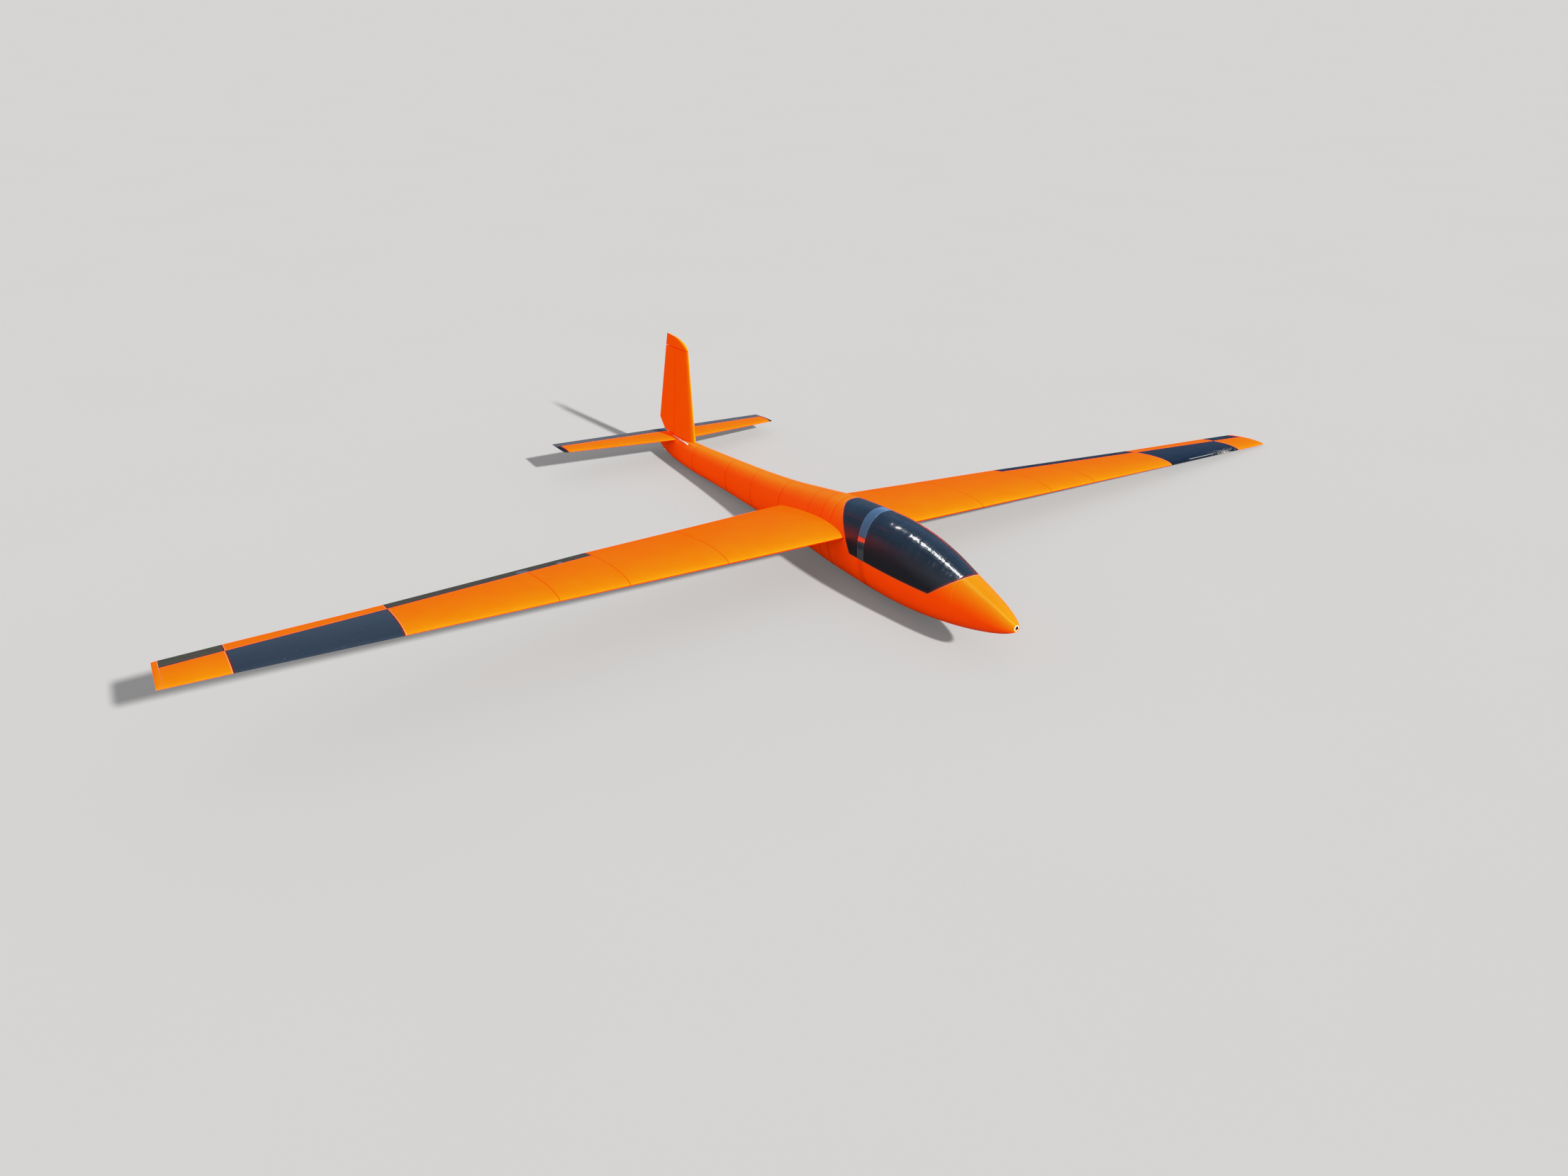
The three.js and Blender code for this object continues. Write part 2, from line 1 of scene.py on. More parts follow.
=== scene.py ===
# %% [markdown]
# # A model sailplane of two metre span, at rest on a floor
#
# The glider has a printed orange fuselage with a navy hatch, wings and tail covered in glossy
# film, and control surfaces that hinge on the upper skin. The CAD frame holds its sizes and
# joints. This notebook dresses each solid of the frame with a finer skin of the same shape and
# gives every skin a finish of its own.

import json
import math

import bmesh
import bpy
from mathutils import Matrix, Vector
from mathutils.geometry import intersect_point_line


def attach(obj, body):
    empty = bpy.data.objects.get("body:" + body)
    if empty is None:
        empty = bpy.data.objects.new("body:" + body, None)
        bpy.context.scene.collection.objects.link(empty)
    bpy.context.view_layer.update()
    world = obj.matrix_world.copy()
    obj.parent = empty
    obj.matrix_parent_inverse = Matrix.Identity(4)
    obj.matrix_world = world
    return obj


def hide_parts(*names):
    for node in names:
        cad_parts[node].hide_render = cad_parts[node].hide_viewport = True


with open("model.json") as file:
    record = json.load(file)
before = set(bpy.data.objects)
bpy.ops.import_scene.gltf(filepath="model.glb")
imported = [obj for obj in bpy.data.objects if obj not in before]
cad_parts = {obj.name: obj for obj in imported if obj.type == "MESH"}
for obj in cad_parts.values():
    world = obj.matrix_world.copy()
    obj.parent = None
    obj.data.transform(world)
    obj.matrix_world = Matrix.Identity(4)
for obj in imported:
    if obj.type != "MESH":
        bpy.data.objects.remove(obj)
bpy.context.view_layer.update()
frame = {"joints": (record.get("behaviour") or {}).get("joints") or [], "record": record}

# %% [markdown]
# ## Axes of the airframe
#
# The glider lies nose up and left wing down, but every piece of it is easiest to draw in the
# airframe's own axes: millimetres, nose tip at the origin, +X forward, +Y to the left wing tip, +Z
# up. Those axes are read back from the frame: the hatch lifts straight up, the elevator's hinge
# points to the right, and the mount on the tray is a known point. `TO_ROW` takes a finished
# drawing to its place on the floor.

# %% Airframe axes from the frame's joints and mount
MM = 0.001
TRAY_MOUNT = Vector((-0.240, 0, -0.018))

joints = {joint["name"]: joint for joint in frame["joints"]}
up = Vector(joints["hatch_lift"]["axis"]).normalized()
left = -Vector(joints["elevator_hinge"]["axis"]).normalized()
forward = left.cross(up).normalized()
TURN = Matrix((forward, left, up)).transposed()
NOSE_TIP = Vector(frame["record"]["mounts"][0]["pos_m"]) - TURN @ TRAY_MOUNT
TO_ROW = Matrix.Translation(NOSE_TIP) @ TURN.to_4x4() @ Matrix.Scale(MM, 4)
print("nose tip in the row frame:", tuple(round(c, 4) for c in NOSE_TIP))

# %% [markdown]
# ## Camera
#
# The camera stands ahead of the right wing and looks back over the nose. Its eye and the direction
# of view are written in airframe axes, so they follow the frame.
# A 36 mm sensor with a 26.7 mm lens gives the same wide view.

# %% Camera
SENSOR, LENS, SIGHT_LIMIT = 36.0, 26.74, 200
EYE = Vector((1011.4, -1070.3, 659.5))
LOOK = Vector((-0.7622, 0.5176, -0.3888))
TO_THE_RIGHT = Vector((0.5551, 0.8316, 0.0188))

camera = bpy.data.objects.new("camera", bpy.data.cameras.new("camera"))
camera.data.sensor_width = SENSOR
camera.data.lens = LENS
camera.data.clip_end = SIGHT_LIMIT
look = (TURN @ LOOK).normalized()
right = (TURN @ TO_THE_RIGHT).normalized()
right = (right - look * right.dot(look)).normalized()
camera.matrix_world = (Matrix.Translation(TO_ROW @ EYE)
                       @ Matrix((right, right.cross(look), -look)).transposed().to_4x4())
bpy.context.scene.collection.objects.link(camera)
bpy.context.scene.camera = camera
print("camera height, m:", round(camera.location.z, 3))

# %% [markdown]
# ## Light
#
# Low sun from ahead of the nose lights the tops and leaves the flanks to the sky. In the studio that
# is one key light at the same angle, under a dome that is bright near the horizon. The key is split
# in two: a wide one that gives the soft shadows, and a narrow one that only shows in reflections,
# for the crisp streak along the hatch. The narrow one is flagged off from wings and tail, as a
# studio lamp is with a card, or their film would glare white when it is seen from behind. A curve in
# the view settings rolls off the brightest values, as a camera does, so that a strongly lit orange
# runs to yellow instead of clipping.

# %% Sun and glint
SUN_FROM = Vector((0.88, 0.12, 0.44))
SUN = {"strength": 20.0, "angle": 2.5}
GLINT = {"strength": 70.0, "angle": 1.6}


def distant_light(name, strength, angle):
    lamp = bpy.data.lights.new(name, "SUN")
    lamp.energy = strength
    lamp.angle = math.radians(angle)
    held = bpy.data.objects.new(name, lamp)
    held.rotation_mode = "QUATERNION"
    held.rotation_quaternion = (TURN @ SUN_FROM).to_track_quat("Z", "Y")
    bpy.context.scene.collection.objects.link(held)
    return held


key = distant_light("key", **SUN)
key.visible_glossy = False
glint = distant_light("glint", **GLINT)
glint.visible_diffuse = False
in_the_glint = bpy.data.collections.new("in_the_glint")
glint.light_linking.receiver_collection = in_the_glint
print("lamps:", key.name, glint.name)

# %% Film curve
SHOULDER = [  # scene brightness, brightness shown
    (0.0, 0.0), (0.3, 0.3), (0.5, 0.54), (0.6, 0.65), (0.75, 0.765), (0.9, 0.822), (1.2, 0.845),
    (2.5, 0.855), (4.5, 0.88), (6.0, 0.94), (12.0, 1.0)]

look_of_film = bpy.context.scene.view_settings
look_of_film.view_transform = "Standard"
look_of_film.use_curve_mapping = True
curve = look_of_film.curve_mapping
curve.clip_max_x = SHOULDER[-1][0]
points = curve.curves[3].points
points[0].location, points[1].location = SHOULDER[0], SHOULDER[-1]
for bright, shown in SHOULDER[1:-1]:
    points.new(bright, shown)
curve.update()
print("points on the curve:", len(points))

# %% [markdown]
# ## Building with nodes
#
# Every finish is drawn with shader nodes. One helper puts a node in a tree: a value goes on its
# socket, and another node's socket is linked to it. Positions come from the piece's Object
# coordinates, turned by a Mapping node into airframe axes in metres, so that a line along a hinge
# or a ring round the fuselage is written with the same numbers as the shape.

# %% Node helpers
def connect(tree, socket, value):
    """Links another node's socket to this one, or writes a plain value on it."""
    if isinstance(value, bpy.types.NodeSocket):
        tree.links.new(value, socket)
    else:
        socket.default_value = value


def put(tree, kind, sockets=None, **settings):
    """Adds a node, sets its options, sets or links its sockets, and gives its outputs."""
    made = tree.nodes.new("ShaderNode" + kind)
    for name, value in settings.items():
        setattr(made, name, value)
    for name, value in (sockets or {}).items():
        connect(tree, made.inputs[name], value)
    return made.outputs


def maths(tree, operation, *values):
    """Math on one to three numbers or sockets."""
    return put(tree, "Math", dict(enumerate(values)), operation=operation)[0]


def split(tree, place):
    """The X, Y and Z of a place or direction."""
    return put(tree, "SeparateXYZ", {0: place})


# %% Ranges, noise, relief and colours
def ramp(tree, value, given, wanted=(0.0, 1.0)):
    """Stretches one range of values to another, and holds it at both ends."""
    return put(tree, "MapRange", {"Value": value, "From Min": given[0], "From Max": given[1],
                                  "To Min": wanted[0], "To Max": wanted[1]})[0]


def noise(tree, place, scale, detail, roughness=0.5):
    return put(tree, "TexNoise", {"Vector": place, "Scale": scale, "Detail": detail,
                                  "Roughness": roughness})["Fac"]


def raised(tree, height, strength, distance, **onto):
    """Relief drawn by a height. The distance is in metres."""
    return put(tree, "Bump", {"Height": height, "Strength": strength, "Distance": distance, **onto})[0]


def blend_colours(tree, share, first, second):
    return put(tree, "Mix", {0: share, 6: first, 7: second}, data_type="RGBA")[2]


def rgb(red, green, blue):
    return (red, green, blue, 1.0)


# %% Shared effects
def effect(name, inputs, output):
    """An empty node group. Inputs are (name, kind, value), and the output is (name, kind)."""
    group = bpy.data.node_groups.new(name, "ShaderNodeTree")
    for label, kind, value in inputs:
        made = group.interface.new_socket(label, in_out="INPUT", socket_type="NodeSocket" + kind)
        if value is not None:
            made.default_value = value
    label, kind = output
    group.interface.new_socket(label, in_out="OUTPUT", socket_type="NodeSocket" + kind)
    given = group.nodes.new("NodeGroupInput").outputs
    result = group.nodes.new("NodeGroupOutput").inputs[0]
    return group, given, result


def put_out(group, result, value):
    """Links what a shared effect puts out."""
    connect(group, result, value)
    print("shared effect:", group.name, "nodes:", len(group.nodes))


def use(tree, group, sockets):
    """Places a shared effect in a tree and gives what it puts out."""
    return put(tree, "Group", sockets, node_tree=group)[0]


# %% Blank materials
def place_on_airframe(tree):
    """Object coordinates in airframe axes, in metres."""
    back = TURN.transposed()
    return put(tree, "Mapping", {
        "Vector": put(tree, "TexCoord")["Object"],
        "Location": -(back @ NOSE_TIP),
        "Rotation": back.to_euler("XYZ"),
    }, vector_type="POINT")[0]


def blank_material(name):
    """A material, its node tree, and the place on the airframe."""
    material = bpy.data.materials.new(name)
    material.use_nodes = True
    return material, material.node_tree, place_on_airframe(material.node_tree)


def set_shader(material, **values):
    """Sets or links the sockets of the material's Principled shader."""
    tree = material.node_tree
    for name, value in values.items():
        connect(tree, tree.nodes["Principled BSDF"].inputs[name.replace("_", " ")], value)
    print("finish:", material.name, "nodes:", len(tree.nodes))


# %% [markdown]
# ## Sky and floor
#
# The dome is pale at the horizon and dimmer overhead, and glossy pieces see a blue sky in it. A
# camera ray that misses the floor sees a plain backdrop in the floor's own tone, so no edge shows.
# The floor is one wide pale disc with a trace of unevenness. It throws back less light than it
# shows, as darker ground would, or the belly of the glider would look lit from below. A little
# glow that only the camera sees keeps the shadows on it soft. Seen from underneath it is clear, so
# the underside can be looked at.

# %% Sky
SKY = rgb(2.45, 2.45, 2.48), rgb(1.05, 1.06, 1.1)      # at the horizon, and overhead
SKY_IN_GLOSS = rgb(0.38, 0.58, 1.00), rgb(0.20, 0.64, 1.32)
SKY_TOP = 0.8
BACKDROP = rgb(0.618, 0.615, 0.606)

world = bpy.data.worlds.new("studio")
bpy.context.scene.world = world
world.use_nodes = True
sky = world.node_tree
_, _, height = split(sky, put(sky, "TexCoord")["Generated"])
above = ramp(sky, height, (0.0, SKY_TOP))
path = put(sky, "LightPath")
shade = blend_colours(sky, path["Is Glossy Ray"], blend_colours(sky, above, *SKY),
                      blend_colours(sky, above, *SKY_IN_GLOSS))
shade = blend_colours(sky, path["Is Camera Ray"], shade, BACKDROP)
connect(sky, sky.nodes["Background"].inputs["Color"], shade)
print("sky nodes:", len(sky.nodes))

# %% Floor
FLOOR_REACH, FLOOR_DROP, FLOOR_SIDES = 90.0, 0.0004, 128

bm = bmesh.new()
bmesh.ops.create_circle(bm, cap_ends=True, radius=FLOOR_REACH, segments=FLOOR_SIDES)
bmesh.ops.translate(bm, vec=(0, 0, -FLOOR_DROP), verts=bm.verts)
floor_mesh = bpy.data.meshes.new("floor")
bm.to_mesh(floor_mesh)
bm.free()
floor = bpy.data.objects.new("floor", floor_mesh)
bpy.context.scene.collection.objects.link(floor)
print("floor, metres across:", 2 * FLOOR_REACH)

# %% Floor paint
FLOOR_TONE = (0.139, 0.137, 0.133)
UNEVENNESS = 0.015
THROWN_BACK, LIT_SHARE, SHADOW_LIFT = 0.42, 0.82, 0.11


def floor_tone(share):
    return rgb(*(c * share for c in FLOOR_TONE))


floor_paint = bpy.data.materials.new("pale_floor")
floor_paint.use_nodes = True
tree = floor_paint.node_tree
grain = noise(tree, put(tree, "TexCoord")["Object"], scale=2.0, detail=3.0)
tone = blend_colours(tree, grain, floor_tone(LIT_SHARE * (1 - UNEVENNESS)),
                     floor_tone(LIT_SHARE * (1 + UNEVENNESS)))
looked_at = put(tree, "LightPath")["Is Camera Ray"]
tone = blend_colours(tree, looked_at, floor_tone(THROWN_BACK), tone)
matte = put(tree, "BsdfDiffuse", {"Color": tone})[0]
lift = put(tree, "Emission", {"Strength": maths(tree, "MULTIPLY", looked_at, SHADOW_LIFT)})[0]
lifted = put(tree, "AddShader", {0: matte, 1: lift})[0]
either = put(tree, "MixShader", {0: put(tree, "NewGeometry")["Backfacing"], 1: lifted,
                                 2: put(tree, "BsdfTransparent")[0]})[0]
connect(tree, tree.nodes["Material Output"].inputs["Surface"], either)
floor_mesh.materials.append(floor_paint)
print("floor paint, nodes:", len(tree.nodes))

# %% [markdown]
# ## Shared effects
#
# Four effects are drawn more than once. **Fine rings** are the layers of a printed shell: thin
# uneven grooves round the fuselage. **Mottle** is the slight drift of colour that film and plastic
# have over a hand's width. **Line mark** is a narrow line along a hinge or a paint seam, the same on
# both wings, where one colour laps over the other. **Specks** are chips and dust of uneven size.

# %% Fine rings of a printed shell
ALONG_A_RING = 14.0
RING_NOISE, RING_DRIFT = {"scale": 1.0, "detail": 1.0}, {"scale": 0.12, "detail": 2.0}

fine_rings, given, result = effect("fine_rings", [
    ("Place", "Vector", None), ("Spacing", "Float", 0.0016), ("Drift", "Float", 0.5)],
    ("Height", "Float"))
x, y, z = split(fine_rings, given["Place"])
squeezed = put(fine_rings, "CombineXYZ", {
    "X": maths(fine_rings, "DIVIDE", x, given["Spacing"]),
    "Y": maths(fine_rings, "MULTIPLY", y, ALONG_A_RING),
    "Z": maths(fine_rings, "MULTIPLY", z, ALONG_A_RING)})[0]
layer = noise(fine_rings, squeezed, **RING_NOISE)
slow = noise(fine_rings, squeezed, **RING_DRIFT)
put_out(fine_rings, result, maths(fine_rings, "MULTIPLY_ADD", slow, given["Drift"], layer))

# %% Mottle
CLOUD_EDGES = (0.35, 0.65)

mottle, given, result = effect("mottle", [
    ("Place", "Vector", None), ("Scale", "Float", 18.0), ("Colour", "Color", rgb(0.8, 0.8, 0.8)),
    ("Lighter", "Color", rgb(0.9, 0.9, 0.9))], ("Colour", "Color"))
cloud = noise(mottle, given["Place"], given["Scale"], detail=5.0, roughness=0.6)
share = ramp(mottle, cloud, CLOUD_EDGES)
put_out(mottle, result, blend_colours(mottle, share, given["Colour"], given["Lighter"]))


def mottled(tree, place, tones, scale):
    """A colour that drifts between two tones."""
    return use(tree, mottle, {"Place": place, "Scale": scale, "Colour": tones[0], "Lighter": tones[1]})


# %% Line mark
line_mark, given, result = effect("line_mark", [
    ("Place", "Vector", None), ("Across", "Vector", (1, 0, 0)), ("Offset", "Float", 0.0),
    ("Half Width", "Float", 0.001)], ("Mask", "Float"))
x, y, z = split(line_mark, given["Place"])
either_wing = put(line_mark, "CombineXYZ", {"X": x, "Y": maths(line_mark, "ABSOLUTE", y), "Z": z})[0]
reach = put(line_mark, "VectorMath", {0: either_wing, 1: given["Across"]},
            operation="DOT_PRODUCT")["Value"]
off = maths(line_mark, "ABSOLUTE", maths(line_mark, "SUBTRACT", reach, given["Offset"]))
put_out(line_mark, result, maths(line_mark, "LESS_THAN", off, given["Half Width"]))

# %% Specks
RARITY = 8.0

specks, given, result = effect("specks", [
    ("Place", "Vector", None), ("Scale", "Float", 100.0), ("Size", "Float", 0.2)], ("Mask", "Float"))
cells = put(specks, "TexVoronoi", {"Vector": given["Place"], "Scale": given["Scale"], "Randomness": 1.0})
chance = put(specks, "SeparateColor", {0: cells["Color"]})["Red"]
bigger = maths(specks, "MULTIPLY", maths(specks, "POWER", chance, RARITY), given["Size"])
put_out(specks, result, maths(specks, "LESS_THAN", cells["Distance"], bigger))

# %% [markdown]
# ## Where the colours meet
#
# The seams of the wing are straight lines seen from above: the aileron's hinge, and the two ends of
# the navy panel. On the orange side a pale line runs along them, because the film is turned over the
# edge there, and on the dark side a dark red one. Each is a line mark, given by a point of the line
# and its direction.

# %% Seam lines
LEAD_LINE, NAVY_START, NAVY_END, SEAM_RAKE = -335.6, 723.2, 922.6, -0.03
AILERON_START, HINGE_AT_START, HINGE_SLOPE = 410.5, -464.7, 0.1377
STAB_HINGE_AT_ROOT, STAB_HINGE_SLOPE = -994.4, -0.014
PALE_EDGE = rgb(0.36, 0.085, 0.035)
DARK_EDGE = rgb(0.05, 0.002, 0.001)


def line_along(point, direction, sight=(0, 0, 1)):
    """Line mark values for the line through a point, in millimetres, for a view along `sight`."""
    across = Vector(direction).cross(Vector(sight)).normalized()
    return {"Across": across, "Offset": across.dot(Vector(point)) * MM}


def lines_across(axis, *offsets):
    """Line mark values for lines square to an axis, at distances along it."""
    return [{"Across": axis, "Offset": offset * MM} for offset in offsets]


def edged(tree, place, colour, lines, edge_colour, half_width):
    """The colour, with a line of another colour along each of the seams."""
    for line in lines:
        mark = use(tree, line_mark, {"Place": place, "Half Width": half_width * MM, **line})
        colour = blend_colours(tree, mark, colour, edge_colour)
    return colour


WING_SEAMS = [line_along((HINGE_AT_START, AILERON_START, 0), (HINGE_SLOPE, 1, 0)),
              line_along((LEAD_LINE, NAVY_START, 0), (-1, SEAM_RAKE, 0)),
              line_along((LEAD_LINE, NAVY_END, 0), (-1, SEAM_RAKE, 0))]
STAB_HINGE = line_along((STAB_HINGE_AT_ROOT, 0, 0), (STAB_HINGE_SLOPE, 1, 0))
print("seams of the wing, mm off the nose tip:", [round(seam["Offset"] / MM, 1) for seam in WING_SEAMS])

# %% [markdown]
# ## Finishes
#
# The fuselage is printed in orange and lightly sanded: satin, with faint rings. A surface with fine
# rings round it stretches a highlight along its axis, as brushed metal does, so the orange shell is
# anisotropic and its tangent is the way forward. The hatch is glossier, and its highlight is a
# narrow broken streak. There each ridge of the print leans the surface's normal forward or back,
# and the low roughness keeps the streak thin. The film on wings and tail is the same orange but
# even, with painted shade under the leading edges. Navy film is satin, with dust and a few chips,
# painted sheen on the right panel and a painted highlight along the left leading edge. The
# ailerons are dark grey, with painted reflection in their tones. Most finishes are a pair of tones,
# the second one lighter.

# %% Rim of the hatch opening
NEAR_EDGE_REACH = 3.0


def rim_mark(tree, colour, edge_colour, width):
    """Colours a strip along the hatch opening, from the attribute that the mesh carries."""
    near = put(tree, "Attribute", attribute_name="near_edge")["Fac"]
    mark = maths(tree, "GREATER_THAN", near, NEAR_EDGE_REACH - width)
    return blend_colours(tree, mark, colour, edge_colour)


# %% Printed orange shell
ORANGE = rgb(0.95, 0.056, 0.0007), rgb(0.96, 0.061, 0.0009)
ORANGE_DARK = rgb(0.50, 0.024, 0.0004)
ORANGE_SHEEN = rgb(1.0, 0.36, 0.05)
ORANGE_TAPED = rgb(0.80, 0.045, 0.0006)
TAPE_MIDDLE, TAPE_HALF_WIDTH, TAPE_TOP = -296, 7, 15
FAINT_RINGS = (-385, -413, -453, -545, -640, -730, -858)
DULLING, DULL_TO_SATIN = (-0.42, -0.2), (0.8, 0.47)      # place in metres, roughness
PATCHES = 0.2

orange_shell, tree, place = blank_material("orange_shell")
x, _, z = split(tree, place)
colour = mottled(tree, place, ORANGE, scale=22.0)
colour = edged(tree, place, colour, lines_across((1, 0, 0), *FAINT_RINGS), ORANGE_DARK, half_width=0.8)
under_tape = use(tree, line_mark, {"Place": place, "Half Width": TAPE_HALF_WIDTH * MM,
                                   **lines_across((1, 0, 0), TAPE_MIDDLE)[0]})
low = maths(tree, "LESS_THAN", z, TAPE_TOP * MM)
colour = blend_colours(tree, maths(tree, "MULTIPLY", under_tape, low), colour, ORANGE_TAPED)
colour = rim_mark(tree, colour, PALE_EDGE, width=1.2)
height = use(tree, fine_rings, {"Place": place, "Spacing": 0.0018, "Drift": 1.2})
duller = ramp(tree, x, DULLING, DULL_TO_SATIN)
patchy = maths(tree, "MULTIPLY_ADD", noise(tree, place, scale=260.0, detail=2.0), PATCHES, -PATCHES / 2)
ahead = put(tree, "CombineXYZ", {"X": forward.x, "Y": forward.y, "Z": forward.z})[0]
set_shader(orange_shell, Base_Color=colour, Roughness=maths(tree, "ADD", duller, patchy),
           Normal=raised(tree, height, strength=0.35, distance=0.00005), Tangent=ahead,
           Anisotropic=1.0, Specular_IOR_Level=0.06, Specular_Tint=ORANGE_SHEEN)

# %% Orange film
FILM = rgb(0.95, 0.049, 0.0006), rgb(0.96, 0.053, 0.0008)
FIN_FILM = rgb(0.95, 0.066, 0.0006), rgb(0.96, 0.073, 0.0008)
# Dark red of the painted shade under the leading edges.
PAINTED_SHADE_UNDER_EDGE = rgb(0.50, 0.006, 0.0003)
JOINT_SHADE = rgb(0.72, 0.030, 0.0005)
PANEL_JOINTS = lines_across((0, 1, 0), 250, 410, 516)
CAP_JOINT = lines_across((0, 0, 1), 215)
FACING_AHEAD, FACING_DOWN = 0.3, -0.12


def under_edge(tree):
    """Mask of the strip that faces forward and down under a leading edge, where shade is painted."""
    ahead, _, upwards = split(tree, put(tree, "TexCoord")["Normal"])
    return maths(tree, "MULTIPLY", maths(tree, "GREATER_THAN", ahead, FACING_AHEAD),
                 maths(tree, "LESS_THAN", upwards, FACING_DOWN))


def film(name, lines=(), half_width=1.2, tones=FILM, joints=PANEL_JOINTS):
    """Orange film. With lines it gets the pale edge that it shows along hinges and paint seams."""
    material, tree, place = blank_material(name)
    colour = mottled(tree, place, tones, scale=30.0)
    colour = edged(tree, place, colour, joints, JOINT_SHADE, half_width=0.8)
    colour = edged(tree, place, colour, lines, PALE_EDGE, half_width)
    # Painted shade: the strip under each leading edge is drawn dark red, as it looks in shadow.
    colour = blend_colours(tree, under_edge(tree), colour, PAINTED_SHADE_UNDER_EDGE)
    ripple = noise(tree, place, scale=60.0, detail=3.0)
    set_shader(material, Base_Color=colour, Roughness=0.36, Specular_IOR_Level=0.0006,
               Specular_Tint=ORANGE_SHEEN, Normal=raised(tree, ripple, strength=0.2, distance=0.0001))
    return material


orange_film = film("orange_film")
bay_film = film("orange_film_at_seams", WING_SEAMS)
stab_film = film("orange_film_at_tail", [STAB_HINGE], half_width=2.2)
fin_film = film("orange_film_of_fin", tones=FIN_FILM, joints=CAP_JOINT)

# %% Navy shell of the hatch
HATCH_NAVY = rgb(0.0024, 0.0032, 0.0040), rgb(0.0034, 0.0052, 0.0070)
HATCH_MIDDLE = 12
UPPER_STEEPNESS = (0.7, 1.7)
LEANING, RIDGE_LEAN = (-0.30, -0.20), (2.6, 5.2)      # place in metres, how far a ridge leans
RIDGES, GRIT, GRIT_SHARE = 2600.0, 900.0, 0.25
SATIN_TO_GLOSS, HATCH_PATCHES = (0.5, 0.11), 0.08


def ridged_normal(tree, place, lean):
    """The surface's direction, leaning forward and back from ridge to ridge of the print."""
    x, _, _ = split(tree, place)
    ridges = put(tree, "TexNoise", {"W": x, "Scale": RIDGES, "Detail": 0.0}, noise_dimensions="1D")["Fac"]
    wave = maths(tree, "MULTIPLY_ADD", noise(tree, place, GRIT, detail=0.0), GRIT_SHARE, ridges)
    swing = maths(tree, "MULTIPLY", maths(tree, "SUBTRACT", wave, (1 + GRIT_SHARE) / 2), lean)
    facing = put(tree, "NewGeometry")["Normal"]
    leaning = put(tree, "VectorMath", {0: forward, 1: swing, 2: facing}, operation="MULTIPLY_ADD")[0]
    return put(tree, "VectorMath", {0: leaning}, operation="NORMALIZE")[0]


navy_shell, tree, place = blank_material("navy_shell")
x, y, z = split(tree, place)
colour = rim_mark(tree, mottled(tree, place, HATCH_NAVY, scale=25.0), DARK_EDGE, width=2.2)
out = maths(tree, "MAXIMUM", maths(tree, "ABSOLUTE", y), MM)
steepness = maths(tree, "DIVIDE", maths(tree, "SUBTRACT", z, HATCH_MIDDLE * MM), out)
upper = ramp(tree, steepness, UPPER_STEEPNESS)
lean = ramp(tree, x, LEANING, RIDGE_LEAN)
ridged = ridged_normal(tree, place, maths(tree, "MULTIPLY", upper, lean))
height = use(tree, fine_rings, {"Place": place, "Spacing": 0.0022, "Drift": 1.5})
satin = ramp(tree, upper, (0.0, 1.0), SATIN_TO_GLOSS)
patchy = maths(tree, "MULTIPLY_ADD", noise(tree, place, scale=800.0, detail=1.0), HATCH_PATCHES,
               -HATCH_PATCHES / 2)
set_shader(navy_shell, Base_Color=colour, Roughness=maths(tree, "ADD", satin, patchy),
           Normal=raised(tree, height, strength=0.2, distance=0.0001, Normal=ridged),
           Specular_IOR_Level=0.28)

# %% Clear tape over the hatch
TAPE_OUTLINE = [Vector((x, 0, z)) for x, z in ((-302, 0), (-287, 0), (-291, 100), (-311, 100))]
TAPE_TONES = rgb(0.009, 0.013, 0.018), rgb(0.015, 0.022, 0.031)
TAPE_BORDER = rgb(0.030, 0.042, 0.055)

clear_tape, tree, place = blank_material("clear_tape")
low_rear, low_front, high_front, high_rear = TAPE_OUTLINE
borders = [line_along(low, high - low, sight=(0, -1, 0))
           for low, high in ((low_rear, high_rear), (low_front, high_front))]
colour = mottled(tree, place, TAPE_TONES, scale=90.0)
colour = edged(tree, place, colour, borders, TAPE_BORDER, half_width=1.3)
set_shader(clear_tape, Base_Color=colour, Roughness=0.12, Specular_IOR_Level=0.6, Coat_Weight=1.0,
           Coat_Roughness=0.06, Coat_IOR=1.6)

# %% Navy film of the wings
NAVY = rgb(0.0014, 0.0028, 0.0062), rgb(0.0026, 0.0046, 0.0092)
# Lighter navy of a painted sheen on the right panel.
NAVY_PAINTED_SHEEN = rgb(0.0120, 0.0170, 0.0235)
DUST = rgb(0.045, 0.05, 0.055)
DUST_GRAINS = ((80.0, 0.11), (320.0, 0.2))      # scale, size
# Bare film of the chips, also the colour of the painted highlight on the left leading edge.
BARE_EDGE_AND_GLINT = rgb(0.12, 0.115, 0.10)
SHEEN_REACH, SHEEN_SHARE = (0.0, 0.09), (0.45, 1.15)      # metres behind the leading edge, share
DULLED_FRONT, DULL_TO_SHINE = 4, (0.85, 0.33)
CHIPPED_FROM, CHIPPED_TO, CHIPPED_DEPTH = 850, 910, 10
FLAKE_BARE, FLAKE_SPREAD = 0.48, 0.14
# Place of a painted highlight: a pale line behind the left leading edge.
GLINT_LINE_FROM, GLINT_LINE_TO, GLINT_LINE_BACK, GLINT_LINE_HALF = 778, 850, 3.0, 0.6


def span_share(tree, y, first, last):
    """0 in the middle of a length of the span, 1 at either end of it."""
    middle = maths(tree, "SUBTRACT", y, (first + last) / 2 * MM)
    return maths(tree, "DIVIDE", maths(tree, "ABSOLUTE", middle), (last - first) / 2 * MM)


navy_film, tree, place = blank_material("navy_film")
x, y, _ = split(tree, place)
behind = maths(tree, "SUBTRACT", LEAD_LINE * MM, x)
stretched = put(tree, "Mapping", {"Vector": place, "Scale": (3.0, 0.5, 1.0)})[0]
